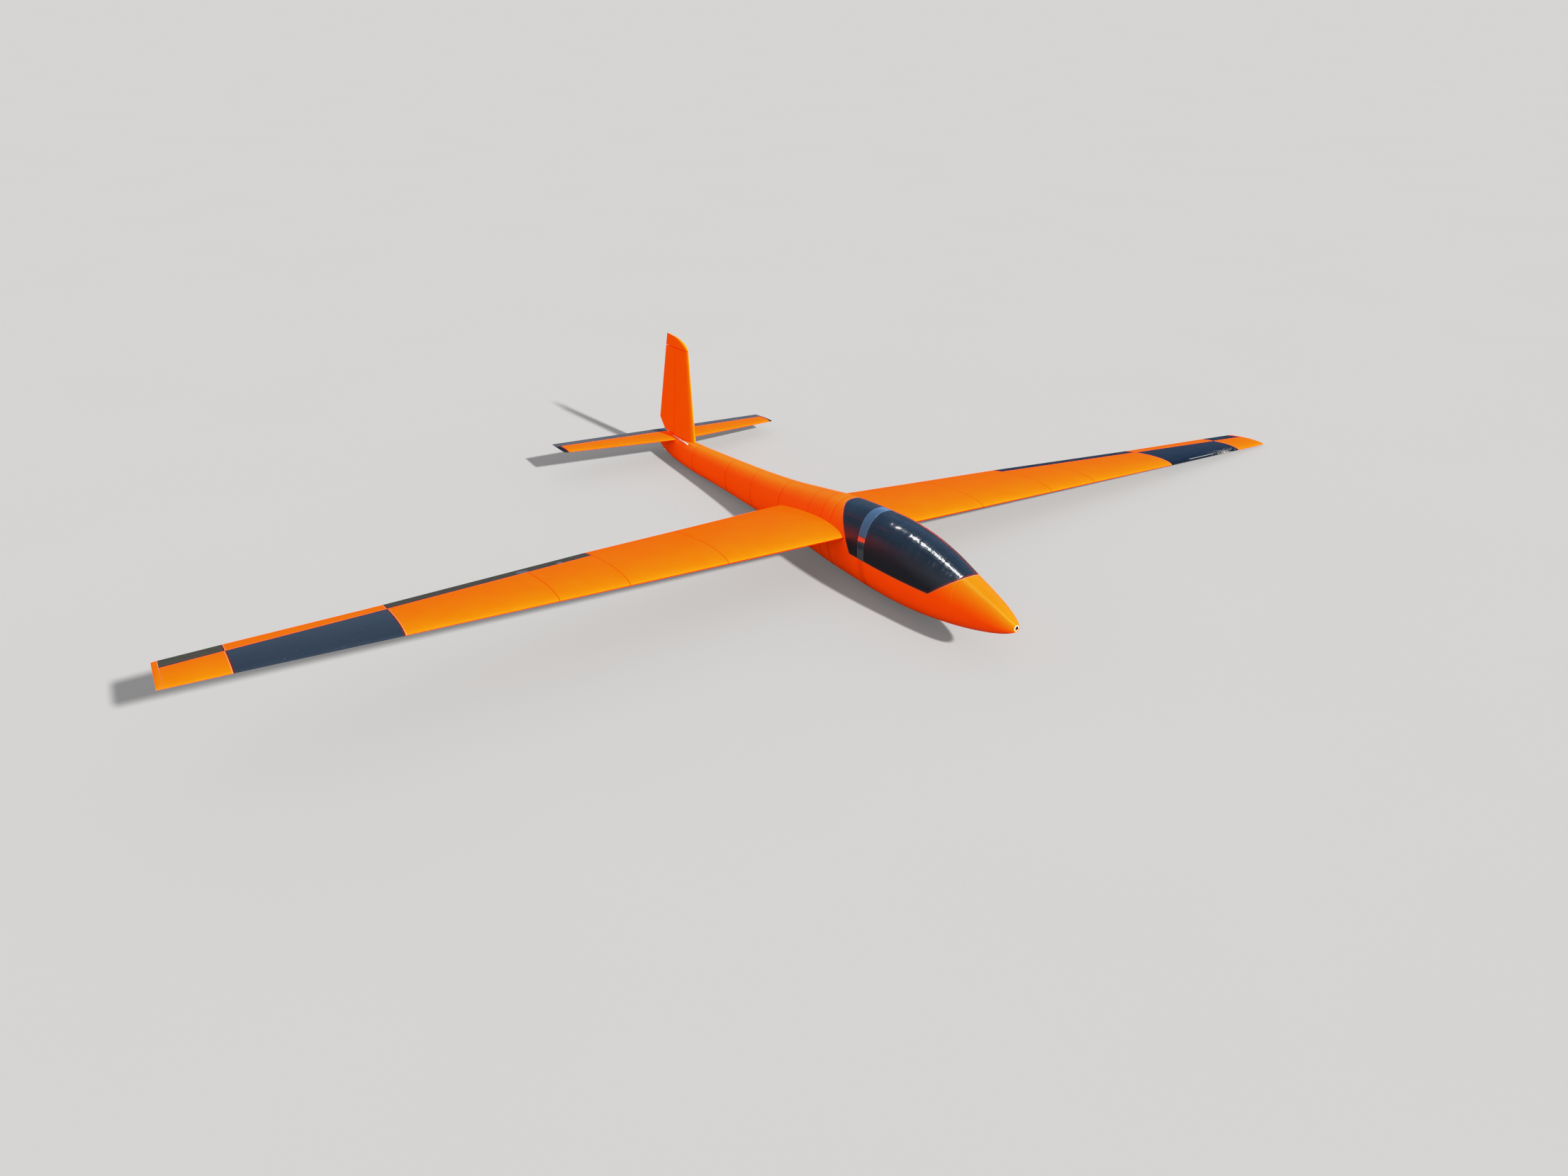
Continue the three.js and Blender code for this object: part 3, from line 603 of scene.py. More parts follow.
# Painted sheen: the right panel is drawn lighter towards its rear, for the reflection that its film shows
# there.
painted_sheen = ramp(tree, behind, SHEEN_REACH, SHEEN_SHARE)
on_the_right = maths(tree, "LESS_THAN", y, 0.0)
colour = blend_colours(tree, maths(tree, "MULTIPLY", painted_sheen, on_the_right),
                       mottled(tree, stretched, NAVY, scale=45.0), NAVY_PAINTED_SHEEN)
colour = edged(tree, place, colour, WING_SEAMS, DARK_EDGE, half_width=1.6)
for scale, size in DUST_GRAINS:
    dust = use(tree, specks, {"Place": place, "Scale": scale, "Size": size})
    colour = blend_colours(tree, dust, colour, DUST)

# %% Chips, and one long painted highlight along the left leading edge
away = maths(tree, "MAXIMUM", maths(tree, "DIVIDE", behind, CHIPPED_DEPTH * MM),
             span_share(tree, y, CHIPPED_FROM, CHIPPED_TO))
flake = noise(tree, place, scale=420.0, detail=4.0)
bare = maths(tree, "MULTIPLY_ADD", away, FLAKE_SPREAD, FLAKE_BARE)
chipped = maths(tree, "GREATER_THAN", flake, bare)
# Painted highlight: a thin pale line 3 mm behind the left leading edge, where the film catches the light.
off_glint_line = maths(tree, "ABSOLUTE", maths(tree, "SUBTRACT", behind, GLINT_LINE_BACK * MM))
off_glint_line = maths(tree, "MAXIMUM", maths(tree, "DIVIDE", off_glint_line, GLINT_LINE_HALF * MM),
                    span_share(tree, y, GLINT_LINE_FROM, GLINT_LINE_TO))
glint_line = maths(tree, "LESS_THAN", off_glint_line, 1.0)
for pale_mark in (chipped, glint_line):
    colour = blend_colours(tree, pale_mark, colour, BARE_EDGE_AND_GLINT)
set_shader(navy_film, Base_Color=colour, Specular_IOR_Level=0.03,
           Roughness=ramp(tree, behind, (0.0, DULLED_FRONT * MM), DULL_TO_SHINE))

# %% Dark grey ailerons and slate elevator
# One near-black film covers the aileron strips of both wings. Its tones hold painted reflection as well as
# its own colour: brown-grey on the right, blue-grey on the left.
CHARCOAL_AND_PAINTED_REFLECTION = rgb(0.0205, 0.0180, 0.0110), rgb(0.026, 0.023, 0.0150)
BLUE_GREY_AND_PAINTED_REFLECTION = rgb(0.005, 0.007, 0.012), rgb(0.007, 0.010, 0.017)
SLATE = rgb(0.030, 0.031, 0.033), rgb(0.042, 0.044, 0.047)
SCUFF = rgb(0.045, 0.045, 0.055)
HORN_DARK = rgb(0.006, 0.006, 0.007)
SCUFFS = [((-456, -522, 31), 8, 16, SCUFF), ((-463, -462, 31), 5, 10, SCUFF)]
DARK_HORNS = [((-972, side * 234, 37), 26, 6, HORN_DARK) for side in (1, -1)]


def grey_film(name, tones, lines, half_width, scuffs=()):
    """Film of a moving surface. Scuffs are (place, reach, raggedness, colour) in millimetres."""
    material, tree, place = blank_material(name)
    stretched = put(tree, "Mapping", {"Vector": place, "Scale": (4.0, 0.6, 1.0)})[0]
    colour = mottled(tree, stretched, tones, scale=60.0)
    colour = edged(tree, place, colour, lines, DARK_EDGE, half_width)
    for spot, reach, ragged, scuffed in scuffs:
        gap = put(tree, "VectorMath", {0: place, 1: Vector(spot) * MM}, operation="DISTANCE")["Value"]
        patchy = noise(tree, place, scale=160.0, detail=3.0)
        edge = maths(tree, "MULTIPLY_ADD", patchy, ragged * MM, (reach - ragged / 2) * MM)
        colour = blend_colours(tree, maths(tree, "LESS_THAN", gap, edge), colour, scuffed)
    set_shader(material, Base_Color=colour, Roughness=0.42, Specular_IOR_Level=0.02)
    return material


charcoal_strip = grey_film("charcoal_strip", CHARCOAL_AND_PAINTED_REFLECTION, WING_SEAMS, half_width=1.4, scuffs=SCUFFS)
left_dark_strip = grey_film("charcoal_strip_left", BLUE_GREY_AND_PAINTED_REFLECTION, WING_SEAMS, half_width=1.4)
elevator_slate = grey_film("elevator_slate", SLATE, [STAB_HINGE], half_width=2.0, scuffs=DARK_HORNS)

# %% Pale eyelet, with painted shade in its bore
PALE = rgb(0.34, 0.20, 0.12), rgb(0.42, 0.28, 0.19)
PAINTED_SHADE_IN_BORE = rgb(0.02, 0.002, 0.001)
SHADE_RADIUS = 3.1

pale_rim, tree, place = blank_material("pale_rim")
_, y, z = split(tree, place)
from_axis = maths(tree, "SQRT", maths(tree, "MULTIPLY_ADD", y, y, maths(tree, "MULTIPLY", z, z)))
# Painted shade: the bore and the inner lip of the ring are drawn dark, as a hole looks.
shaded_bore = maths(tree, "LESS_THAN", from_axis, SHADE_RADIUS * MM)
colour = blend_colours(tree, shaded_bore, mottled(tree, place, PALE, scale=300.0), PAINTED_SHADE_IN_BORE)
set_shader(pale_rim, Base_Color=colour, Roughness=0.5, Specular_IOR_Level=0.3)

# %% White rods in the tail slot
WHITE = rgb(0.30, 0.22, 0.19), rgb(0.38, 0.31, 0.28)

white_rod, tree, place = blank_material("white_rod")
set_shader(white_rod, Base_Color=mottled(tree, place, WHITE, scale=200.0), Roughness=0.4,
           Specular_IOR_Level=0.3)

# %% Plywood and shrink wrap
PLYWOOD = rgb(0.085, 0.048, 0.020), rgb(0.15, 0.098, 0.048)
BLACK_WRAP = rgb(0.004, 0.004, 0.005), rgb(0.008, 0.008, 0.009)

tray_wood, tree, place = blank_material("tray_wood")
grain = put(tree, "Mapping", {"Vector": place, "Scale": (8.0, 160.0, 160.0)})[0]
figure = noise(tree, grain, scale=1.0, detail=6.0)
set_shader(tray_wood, Base_Color=blend_colours(tree, ramp(tree, figure, CLOUD_EDGES), *PLYWOOD),
           Normal=raised(tree, figure, strength=0.3, distance=0.0001), Roughness=0.7)

battery_wrap, tree, place = blank_material("battery_wrap")
creases = noise(tree, place, scale=70.0, detail=3.0)
set_shader(battery_wrap, Base_Color=mottled(tree, place, BLACK_WRAP, scale=90.0),
           Normal=raised(tree, creases, strength=0.5, distance=0.0006), Roughness=0.3)

# %% [markdown]
# ## Lofting: one circle, pulled along and reshaped
#
# Every long piece of the airframe is a loft. A bmesh starts as one circle. Its edges are extruded
# ring by ring, and each ring's points move from the unit circle to the section at that station. The
# shape function says where a point of the circle goes: `across` and `along` are its two
# coordinates, from -1 to 1. Both ends are closed with a face. For a wing or tail section the circle
# is flattened to a blade. An odd number of points leaves one point at the front of it and a flat
# edge at the back.

# %% Rings
def edges_round(ring):
    """The edges that join the points of a ring, always in the same order."""
    rim = set(ring)
    found = (edge for point in ring for edge in point.link_edges if edge.other_vert(point) in rim)
    return list(dict.fromkeys(found))


def pull_ring(bm, ring):
    """Extrudes a closed ring of points and gives the new ring in the same order."""
    rim = set(ring)
    grown = bmesh.ops.extrude_edge_only(bm, edges=edges_round(ring))["geom"]
    partner = {}
    for point in grown:
        if isinstance(point, bmesh.types.BMVert):
            for edge in point.link_edges:
                if edge.other_vert(point) in rim:
                    partner[edge.other_vert(point)] = point
    return [partner[point] for point in ring]


# %% Loft and blade
def loft(stations, shape, sides, flat_front=False):
    """A closed body through the stations, in airframe millimetres."""
    bm = bmesh.new()
    first = ring = bmesh.ops.create_circle(bm, cap_ends=False, radius=1, segments=sides)["verts"]
    if flat_front:
        half_step = Matrix.Rotation(math.pi / sides, 3, "Z")
        bmesh.ops.rotate(bm, cent=(0, 0, 0), matrix=half_step, verts=ring)
    circle = [(point.co.x, point.co.y) for point in ring]
    for number, station in enumerate(stations):
        if number:
            ring = pull_ring(bm, ring)
        for point, (across, along) in zip(ring, circle):
            point.co = shape(station, across, along)
    for end in (first, ring):
        bmesh.ops.edgeloop_fill(bm, edges=edges_round(end))
    bmesh.ops.recalc_face_normals(bm, faces=bm.faces)
    return bm


def blade(stations, shape, sides, flat_front=False):
    """A loft whose shape takes the share of the way back, 0 to 1, and the side, 1 or -1."""
    rearmost = math.cos(math.pi / sides)
    foremost = rearmost if flat_front else 1.0

    def on_the_circle(station, across, along):
        return shape(station, (foremost - along) / (foremost + rearmost), 1 if across >= 0 else -1)

    return loft(stations, on_the_circle, sides, flat_front)


# %% [markdown]
# ## Finishing a piece
#
# A finished drawing goes to its place in the row frame, gets smooth shading with sharp edges, and
# is told which body it rides on and which CAD node it stands for. Cuts are made with a Boolean
# modifier while the drawing is still in millimetres: the cutter is a second body, and it is thrown
# away afterwards.

# %% Finish
SHARP = math.radians(32)
GLINTING = (orange_shell, navy_shell, clear_tape, pale_rim, white_rod)


def hold(bm, name):
    """A bmesh as an object of the scene."""
    mesh = bpy.data.meshes.new(name)
    bm.to_mesh(mesh)
    bm.free()
    held = bpy.data.objects.new(name, mesh)
    bpy.context.scene.collection.objects.link(held)
    return held


def finish(bm, node, slot, material, body="root", name=None, near_edge=None):
    """Puts a drawing in its place, as the skin of a CAD node or as a piece of its own name."""
    bm.verts.index_update()
    marks = [near_edge(point.co) for point in bm.verts] if near_edge else None
    bmesh.ops.transform(bm, matrix=TO_ROW, verts=bm.verts)
    piece = hold(bm, name or node + "_skin")
    if marks:
        piece.data.attributes.new("near_edge", "FLOAT", "POINT").data.foreach_set("value", marks)
    piece.data.shade_smooth()
    piece.data.set_sharp_from_angle(angle=SHARP)
    piece.data.materials.append(material)
    if material in GLINTING:
        in_the_glint.objects.link(piece)
    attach(piece, body)
    if node:
        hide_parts(node)
    triangles = sum(len(face.vertices) - 2 for face in piece.data.polygons)
    print(f"{piece.name} on {body}: {triangles} triangles")


# %% Carve
MERGED = 0.002


def carve(bm, *cuts):
    """Cuts with, or keeps what lies in, other bodies: each cut is (operation, bmesh)."""
    blank = hold(bm, "blank")
    cutters = []
    for operation, tool in cuts:
        cutter = hold(tool, "cutter")
        cutters.append(cutter)
        step = blank.modifiers.new("cut", "BOOLEAN")
        step.operation = operation
        step.solver = "EXACT"
        step.object = cutter
    bpy.context.view_layer.update()
    carved = bmesh.new()
    carved.from_object(blank, bpy.context.evaluated_depsgraph_get())
    for used in (blank, *cutters):
        mesh = used.data
        bpy.data.objects.remove(used)
        bpy.data.meshes.remove(mesh)
    bmesh.ops.remove_doubles(carved, verts=carved.verts, dist=MERGED)
    return carved


# %% [markdown]
# ## Fuselage
#
# The fuselage is a slim egg that runs out into a tapered boom. Its side view and plan are known at
# 23 stations: the heights of back and belly, and half the width. A smooth curve runs through them,
# and each section is an ellipse that is a little boxy. The printed pieces meet at fine seams, so
# the last two rings of each piece are drawn in by a hair, and the seam catches the light as a
# faint line. A narrow slot in the tail block, beside the fin, shows two pale lengths of the rod that
# works the tail.

# %% Fuselage stations
FUSELAGE = [  # at, back, belly, half width
    (-1008, 26, 11, 7), (-993, 33, 3.6, 9.4), (-985, 42, 0.8, 10.2), (-950, 43.6, -5.8, 14),
    (-900, 44.2, -10.3, 17.2), (-850, 44.4, -12.8, 19.2), (-780, 46.7, -14.7, 21),
    (-700, 49.9, -18.5, 23.3), (-620, 53.9, -23, 26.3), (-540, 60.2, -29.6, 30.2),
    (-460, 70, -37.2, 35.6), (-400, 77.2, -42.6, 39.8), (-350, 80.7, -45.3, 42),
    (-300, 81.9, -47.7, 43.4), (-250, 81.2, -48.6, 44), (-200, 75.4, -47.2, 42.2),
    (-150, 63.8, -42.6, 37.6), (-100, 46.9, -35.4, 30.6), (-60, 33.2, -27, 24.2),
    (-30, 21.8, -18.9, 17.6), (-14, 13.9, -13, 12.6), (-5, 8.9, -8.7, 8.6), (0, 5.6, -5.6, 5.6),
]
BACK, BELLY, HALF = 1, 2, 3
TAIL_END, SEAT_SEAM, NOSE_SEAM = FUSELAGE[0][0], -385, -100
SQUARENESS = 2.2
GAP, WALL = 0.3, 2.0
ROUND = 96
EDGE_ROLL = [(0.0, 0.18), (0.12, 0.05), (0.4, 0.0)]     # back from the rim, drawn in
print("fuselage, mm long:", -TAIL_END, "greatest half width:", max(row[HALF] for row in FUSELAGE))


# %% Curve through the stations
def between(table, at, column):
    """Smooth curve through the rows of a table that is sorted by its first column."""
    last = len(table) - 1
    i = 0
    while i < last - 1 and at > table[i + 1][0]:
        i += 1
    a, b = table[i], table[i + 1]

    def slope(p, q):
        return (q[column] - p[column]) / (q[0] - p[0])

    here = slope(a, b)
    before = (slope(table[i - 1], a) + here) / 2 if i > 0 else here
    after = (here + slope(b, table[i + 2])) / 2 if i < last - 1 else here
    run = b[0] - a[0]
    t = min(max((at - a[0]) / run, 0), 1)
    return (a[column] * (1 + 2 * t) * (1 - t) ** 2 + before * run * t * (1 - t) ** 2
            + b[column] * t * t * (3 - 2 * t) + after * run * t * t * (t - 1))


print("half width at the seat seam, mm:", round(between(FUSELAGE, SEAT_SEAM, HALF), 1))


# %% Fuselage body
def bend(value):
    return math.copysign(abs(value) ** (2 / SQUARENESS), value)


def fuselage_point(station, across, along):
    """Where a point of the unit circle goes in the section at (x, inset)."""
    x, inset = station
    back = between(FUSELAGE, x, BACK) - inset
    belly = between(FUSELAGE, x, BELLY) + inset
    half = between(FUSELAGE, x, HALF) - inset
    return Vector((x, half * bend(across), (back + belly) / 2 + (back - belly) / 2 * bend(along)))


def run_of_stations(start, end, step):
    """Evenly spaced places from start to end, in strides of about step."""
    strides = max(1, math.ceil((end - start) / step))
    return [start + (end - start) * i / strides for i in range(strides + 1)]


def fuselage_body(start, end, inset=0.0, step=6.0, rolled=False):
    """A closed length of the fuselage. `rolled` softens the rims at both ends."""
    if not rolled:
        stations = [(x, inset) for x in run_of_stations(start, end, step)]
    else:
        reach = EDGE_ROLL[-1][0]
        stations = [(start + x, drawn) for x, drawn in EDGE_ROLL[:-1]]
        stations += [(x, 0.0) for x in run_of_stations(start + reach, end - reach, step)]
        stations += [(end - x, drawn) for x, drawn in reversed(EDGE_ROLL[:-1])]
    return loft(stations, fuselage_point, ROUND)


# %% Rods between two points
SOFTENED = 0.4


def rod(first, second, thick_first, thick_second, sides=24):
    """A round rod with softened ends."""
    first, second = Vector(first), Vector(second)
    run = second - first
    bm = bmesh.new()
    place = Matrix.Translation((first + second) / 2) @ run.to_track_quat("Z", "Y").to_matrix().to_4x4()
    bmesh.ops.create_cone(bm, cap_ends=True, segments=sides, radius1=thick_first, radius2=thick_second,
                          depth=run.length, matrix=place)
    rims = [edge for edge in bm.edges if any(len(face.verts) > 4 for face in edge.link_faces)]
    bmesh.ops.bevel(bm, geom=rims, offset=SOFTENED * min(thick_first, thick_second), offset_type="OFFSET",
                    affect="EDGES", segments=2, profile=0.5, material=-1)
    return bm


# %% Boom and the slot in the tail block
BOOM = [("wing_seat", -545, SEAT_SEAM), ("boom_front", -730, -545), ("boom_rear", -858, -730),
        ("tail_block", TAIL_END, -858)]
SLOT = ((-970, -5.6, 42.0), (-878, -11.6, 40.4), 1.9, 1.9)
SLOT_RODS = [((-954, -5.9, 41.7), (-921, -8.1, 41.2), 0.7, 1.2),
             ((-917, -9.0, 41.0), (-888, -11.0, 40.4), 1.3, 1.3)]

for name, start, end in BOOM:
    low = start + (0 if name == "tail_block" else GAP / 2)
    skin = fuselage_body(low, end - GAP / 2, rolled=True)
    if name == "tail_block":
        skin = carve(skin, ("DIFFERENCE", rod(*SLOT)))
    finish(skin, name, "orange_shell", orange_shell)
for number, ends in enumerate(SLOT_RODS, 1):
    finish(rod(*ends), None, "pale_rim", white_rod, name=f"slot_rod_{number}")

# %% [markdown]
# ## Hatch, pod and nose
#
# The pod is a printed shell with a 2 mm wall, and the hatch is the upper part of the same egg. Its
# edge is one straight cut in side view along the bottom, slanted at the front and curved at the
# back, where it runs up over the wing's leading edge. A prism with that outline cuts the hatch out
# of one shell and, grown by the gap, cuts the hole out of the pod and the nose.

# %% Hatch prism
FRONT_LOW, FRONT_TOP = Vector((-144.7, 0, 6.9)), Vector((-94.2, 0, 44.8))
AFT_TOP, AFT_BEND, AFT_LOW = Vector((-372, 0, 76)), Vector((-351.5, 0, 57)), Vector((-324.4, 0, 9.9))
AFT_STEPS = 12
CLEAR_ABOVE, CLEAR_BESIDE = 100, 60


def prism(outline):
    """An outline in side view, run through the whole width of the fuselage."""
    bm = bmesh.new()
    reach = Vector((0, CLEAR_BESIDE, 0))
    face = bm.faces.new([bm.verts.new(point - reach) for point in outline])
    grown = bmesh.ops.extrude_face_region(bm, geom=[face])["geom"]
    raised_points = [v for v in grown if isinstance(v, bmesh.types.BMVert)]
    bmesh.ops.translate(bm, vec=2 * reach, verts=raised_points)
    bmesh.ops.recalc_face_normals(bm, faces=bm.faces)
    return bm


def hatch_outline(grow):
    """Corners of the hatch in side view, from the front's foot over the top to the aft foot."""
    slant = (FRONT_TOP.x - FRONT_LOW.x) / (FRONT_TOP.z - FRONT_LOW.z)
    onwards = grow * math.hypot(slant, 1)
    outline = [FRONT_LOW + Vector((onwards - slant * grow, 0, -grow)),
               Vector((FRONT_TOP.x + slant * (CLEAR_ABOVE - FRONT_TOP.z) + onwards, 0, CLEAR_ABOVE)),
               Vector((AFT_TOP.x - grow, 0, CLEAR_ABOVE))]
    for i in range(AFT_STEPS + 1):
        t = i / AFT_STEPS
        curve = AFT_TOP * (1 - t) ** 2 + AFT_BEND * 2 * t * (1 - t) + AFT_LOW * t * t
        outline.append(curve - Vector((grow, 0, grow)))
    return outline


print("hatch, mm long at its foot:", round(FRONT_LOW.x - AFT_LOW.x, 1))


# %% Distance to the hatch's edge
def near_hatch_edge(point):
    """How near a point is to the hatch's edge in side view: 3 on the edge, falling by 1 a millimetre."""
    corners = hatch_outline(0)
    flat = Vector((point.x, 0, point.z))
    nearest = CLEAR_ABOVE
    for first, second in zip(corners, corners[1:] + corners[:1]):
        _, share = intersect_point_line(flat, first, second)
        on_edge = first.lerp(second, min(max(share, 0), 1))
        nearest = min(nearest, (flat - on_edge).length)
    return NEAR_EDGE_REACH - nearest


print("at the foot of the hatch's front edge:", near_hatch_edge(FRONT_LOW))

# %% Hatch and pod
HATCH_REAR, HATCH_FRONT = SEAT_SEAM + 4, -40
PAST = 5
POD_STEP = 4.0

hatch = carve(fuselage_body(HATCH_REAR, HATCH_FRONT, step=POD_STEP),
              ("DIFFERENCE", fuselage_body(SEAT_SEAM, HATCH_FRONT + PAST, WALL)),
              ("INTERSECT", prism(hatch_outline(0))))
finish(hatch, "canopy_hatch", "navy_shell", navy_shell, body="hatch", near_edge=near_hatch_edge)

pod = carve(fuselage_body(SEAT_SEAM + GAP / 2, NOSE_SEAM - GAP / 2, step=POD_STEP, rolled=True),
            ("DIFFERENCE", fuselage_body(SEAT_SEAM - PAST, NOSE_SEAM + PAST, WALL)),
            ("DIFFERENCE", prism(hatch_outline(GAP))))
finish(pod, "pod_shell", "orange_shell", orange_shell, near_edge=near_hatch_edge)

# %% [markdown]
# ## Tape over the hatch
#
# A band of clear tape goes round the hatch behind its middle and holds it down. It is as thin as
# tape is, so it is cut from a shell of 0.14 mm that lies just above the hatch. It ends at the
# hatch's edge and lifts off with it.

# %% Tape band
TAPE_START, TAPE_STOP, TAPE_PAST, TAPE_STEP = -320, -278, 6, 2.0
TAPE_LIFT, TAPE_THICK, TAPE_INSET = 0.02, 0.14, 0.4

inner = fuselage_body(TAPE_START - TAPE_PAST, TAPE_STOP + TAPE_PAST, -TAPE_LIFT, step=TAPE_STEP)
tape = carve(fuselage_body(TAPE_START, TAPE_STOP, -TAPE_LIFT - TAPE_THICK, step=TAPE_STEP),
             ("DIFFERENCE", inner),
             ("INTERSECT", prism(hatch_outline(-TAPE_INSET))),
             ("INTERSECT", prism(TAPE_OUTLINE)))
finish(tape, None, "navy_shell", clear_tape, body="hatch", name="hatch_tape")

# %% [markdown]
# ## Nose cone and its eyelet
#
# A vent in the tip cools the electronics. It is lined with a pale eyelet, which is a small turned
# ring: its profile is drawn once and spun round the fuselage's axis.

# %% Turned ring and drill
EYELET_OUTER, EYELET_BORE, EYELET_DEPTH = 4.5, 2.6, 6.0


def turned(profile, sides=64):
    """A profile of (radius, x) spun round the X axis into a closed ring."""
    bm = bmesh.new()
    points = [bm.verts.new((x, 0, radius)) for radius, x in profile]
    edges = [bm.edges.new(pair) for pair in zip(points, points[1:] + points[:1])]
    bmesh.ops.spin(bm, geom=points + edges, cent=(0, 0, 0), axis=(1, 0, 0), dvec=(0, 0, 0),
                   angle=2 * math.pi, steps=sides, use_merge=True, use_duplicate=False)
    bmesh.ops.recalc_face_normals(bm, faces=bm.faces)
    return bm


def drill(radius, start, end=PAST, sides=64):
    """A round bar on the fuselage's axis."""
    bm = bmesh.new()
    place = Matrix.Translation(((start + end) / 2, 0, 0)) @ Matrix.Rotation(math.pi / 2, 4, "Y")
    bmesh.ops.create_cone(bm, cap_ends=True, segments=sides, radius1=radius, radius2=radius,
                          depth=end - start, matrix=place)
    return bm


# %% Nose cone and eyelet
HOLLOW_START = -18
TIP_START = -16
TIP_STATIONS = (-14, -12, -10, -8, -6.5, -5, -4, -3, -2, -1.2, -0.6, -0.2)
TIP_DRAWN_IN = 0.25

nose_places = (*run_of_stations(NOSE_SEAM + GAP / 2, TIP_START, POD_STEP), *TIP_STATIONS)
nose_stations = [(x, 0.0) for x in nose_places] + [(0, TIP_DRAWN_IN)]
nose = carve(loft(nose_stations, fuselage_point, ROUND),
             ("DIFFERENCE", fuselage_body(NOSE_SEAM - PAST, HOLLOW_START, WALL)),
             ("DIFFERENCE", prism(hatch_outline(GAP))),
             ("DIFFERENCE", drill(EYELET_BORE, HOLLOW_START - PAST)),
             ("DIFFERENCE", drill(EYELET_OUTER + GAP / 2, -EYELET_DEPTH - GAP)))
finish(nose, "nose_cone", "orange_shell", orange_shell, near_edge=near_hatch_edge)

eyelet = turned([
    (EYELET_BORE, -EYELET_DEPTH), (EYELET_OUTER, -EYELET_DEPTH), (EYELET_OUTER, -0.7),
    (EYELET_OUTER - 0.15, -0.3), (EYELET_OUTER - 0.45, -0.05), (EYELET_OUTER - 0.8, 0),
    (EYELET_BORE + 0.5, 0), (EYELET_BORE + 0.15, -0.15), (EYELET_BORE, -0.5)])
finish(eyelet, "nose_eyelet", "pale_rim", pale_rim, name="nose_eyelet_ring")

# %% [markdown]
# ## Equipment bay
#
# The tray is a plywood slab across the pod's floor. The battery stands on it, a block with rounded
# edges like a pack in shrink wrap.

# %% Tray and battery
TRAY_START, TRAY_END, TRAY_TOP, TRAY_THICK = -330, -48, -18, 2
BATTERY_START, BATTERY_END, BATTERY_HALF, BATTERY_HEIGHT, BATTERY_EDGE = -150, -78, 16, 24, 2.5


def slab(low, high):
    """A block between two corners."""
    bm = bmesh.new()
    low, high = Vector(low), Vector(high)
    size = Matrix.Diagonal((*(high - low), 1))
    bmesh.ops.create_cube(bm, size=1, matrix=Matrix.Translation((low + high) / 2) @ size)
    return bm


tray = carve(slab((TRAY_START, -CLEAR_BESIDE, TRAY_TOP - TRAY_THICK), (TRAY_END, CLEAR_BESIDE, TRAY_TOP)),
             ("INTERSECT", fuselage_body(SEAT_SEAM, HATCH_FRONT, WALL + GAP)))
finish(tray, "equipment_tray", "tray_wood", tray_wood)

foot = TRAY_TOP + GAP
battery = slab((BATTERY_START, -BATTERY_HALF, foot), (BATTERY_END, BATTERY_HALF, foot + BATTERY_HEIGHT))
bmesh.ops.bevel(battery, geom=battery.edges[:], offset=BATTERY_EDGE, offset_type="OFFSET",
                affect="EDGES", segments=4, profile=0.5, material=-1)
finish(battery, "battery_block", "battery_wrap", battery_wrap)

# %% [markdown]
# ## Wing
#
# The wing tapers in straight lines: leading edge, trailing edge, height and thickness are known at
# six distances out. Its section is thin and slightly arched. A panel is the part ahead of the
# hinge line, and an aileron is the part behind it, with its lower front corner cut away so that it
# can swing down.

# %% Wing tables
WING = [  # out, leading edge, trailing edge, height, drop, thickness
    (20, -342, -530.5, 30.4, 4, 0.092), (250, -341.5, -506, 29.8, 2, 0.09),
    (410, -339.5, -488.7, 30.6, 1.6, 0.088), (720, -335.6, -445, 32.6, 0.8, 0.08),
    (920, -335, -421, 33.4, -0.6, 0.072), (1003, -334.6, -410.5, 33.6, -1.2, 0.07),
]
LEAD, TRAIL, HEIGHT, DROP, THICK = 1, 2, 3, 4, 5
CAMBER, CREST, BLUNT_REAR = 0.02, 0.4, 0.0035
STUB_START, ROOT_RIB, CAP_START, SEMI_SPAN = 20, 45, 996, 1003
SEAM_RAKES = {ROOT_RIB: 0.045, NAVY_START: SEAM_RAKE, NAVY_END: SEAM_RAKE, CAP_START: -0.05}
HINGE_BEVEL = math.tan(math.radians(30))


def straight(table, at, column):
    """Straight lines through the rows of a table that is sorted by its first column."""
    i = 0
    while i < len(table) - 2 and at > table[i + 1][0]:
        i += 1
    a, b = table[i], table[i + 1]
    return a[column] + (b[column] - a[column]) * (at - a[0]) / (b[0] - a[0])


print("chord at the root and the tip, mm:",
      [round(row[LEAD] - row[TRAIL], 1) for row in (WING[0], WING[-1])])


# %% Wing surface
def slanted(start, slope, at=0):
    """A straight edge: it stands at `start` at the distance `at`, and moves by `slope` from there."""
    return lambda out: start + slope * (out - at)


def half_thickness(share, thickness):
    """Half thickness of a streamlined section with a blunt rear, as a share of its chord."""
    s = max(share, 0)
    return (5 * thickness * (0.2969 * math.sqrt(s) - 0.126 * s - 0.3516 * s ** 2 + 0.2843 * s ** 3
                             - 0.1036 * s ** 4) + BLUNT_REAR * s)


def wing_surface(y, x, side, thin=1.0):
    """Height of the wing's upper (side 1) or lower (side -1) surface."""
    lead = straight(WING, y, LEAD)
    chord = lead - straight(WING, y, TRAIL)
    share = min(max((lead - x) / chord, 0), 1)
    if share < CREST:
        arch = CAMBER * (2 * CREST * share - share ** 2) / CREST ** 2
    else:
        arch = CAMBER * (1 - 2 * CREST + 2 * CREST * share - share ** 2) / (1 - CREST) ** 2
    half = half_thickness(share, straight(WING, y, THICK)) * thin
    return straight(WING, y, HEIGHT) - straight(WING, y, DROP) * share + chord * (arch + side * half)


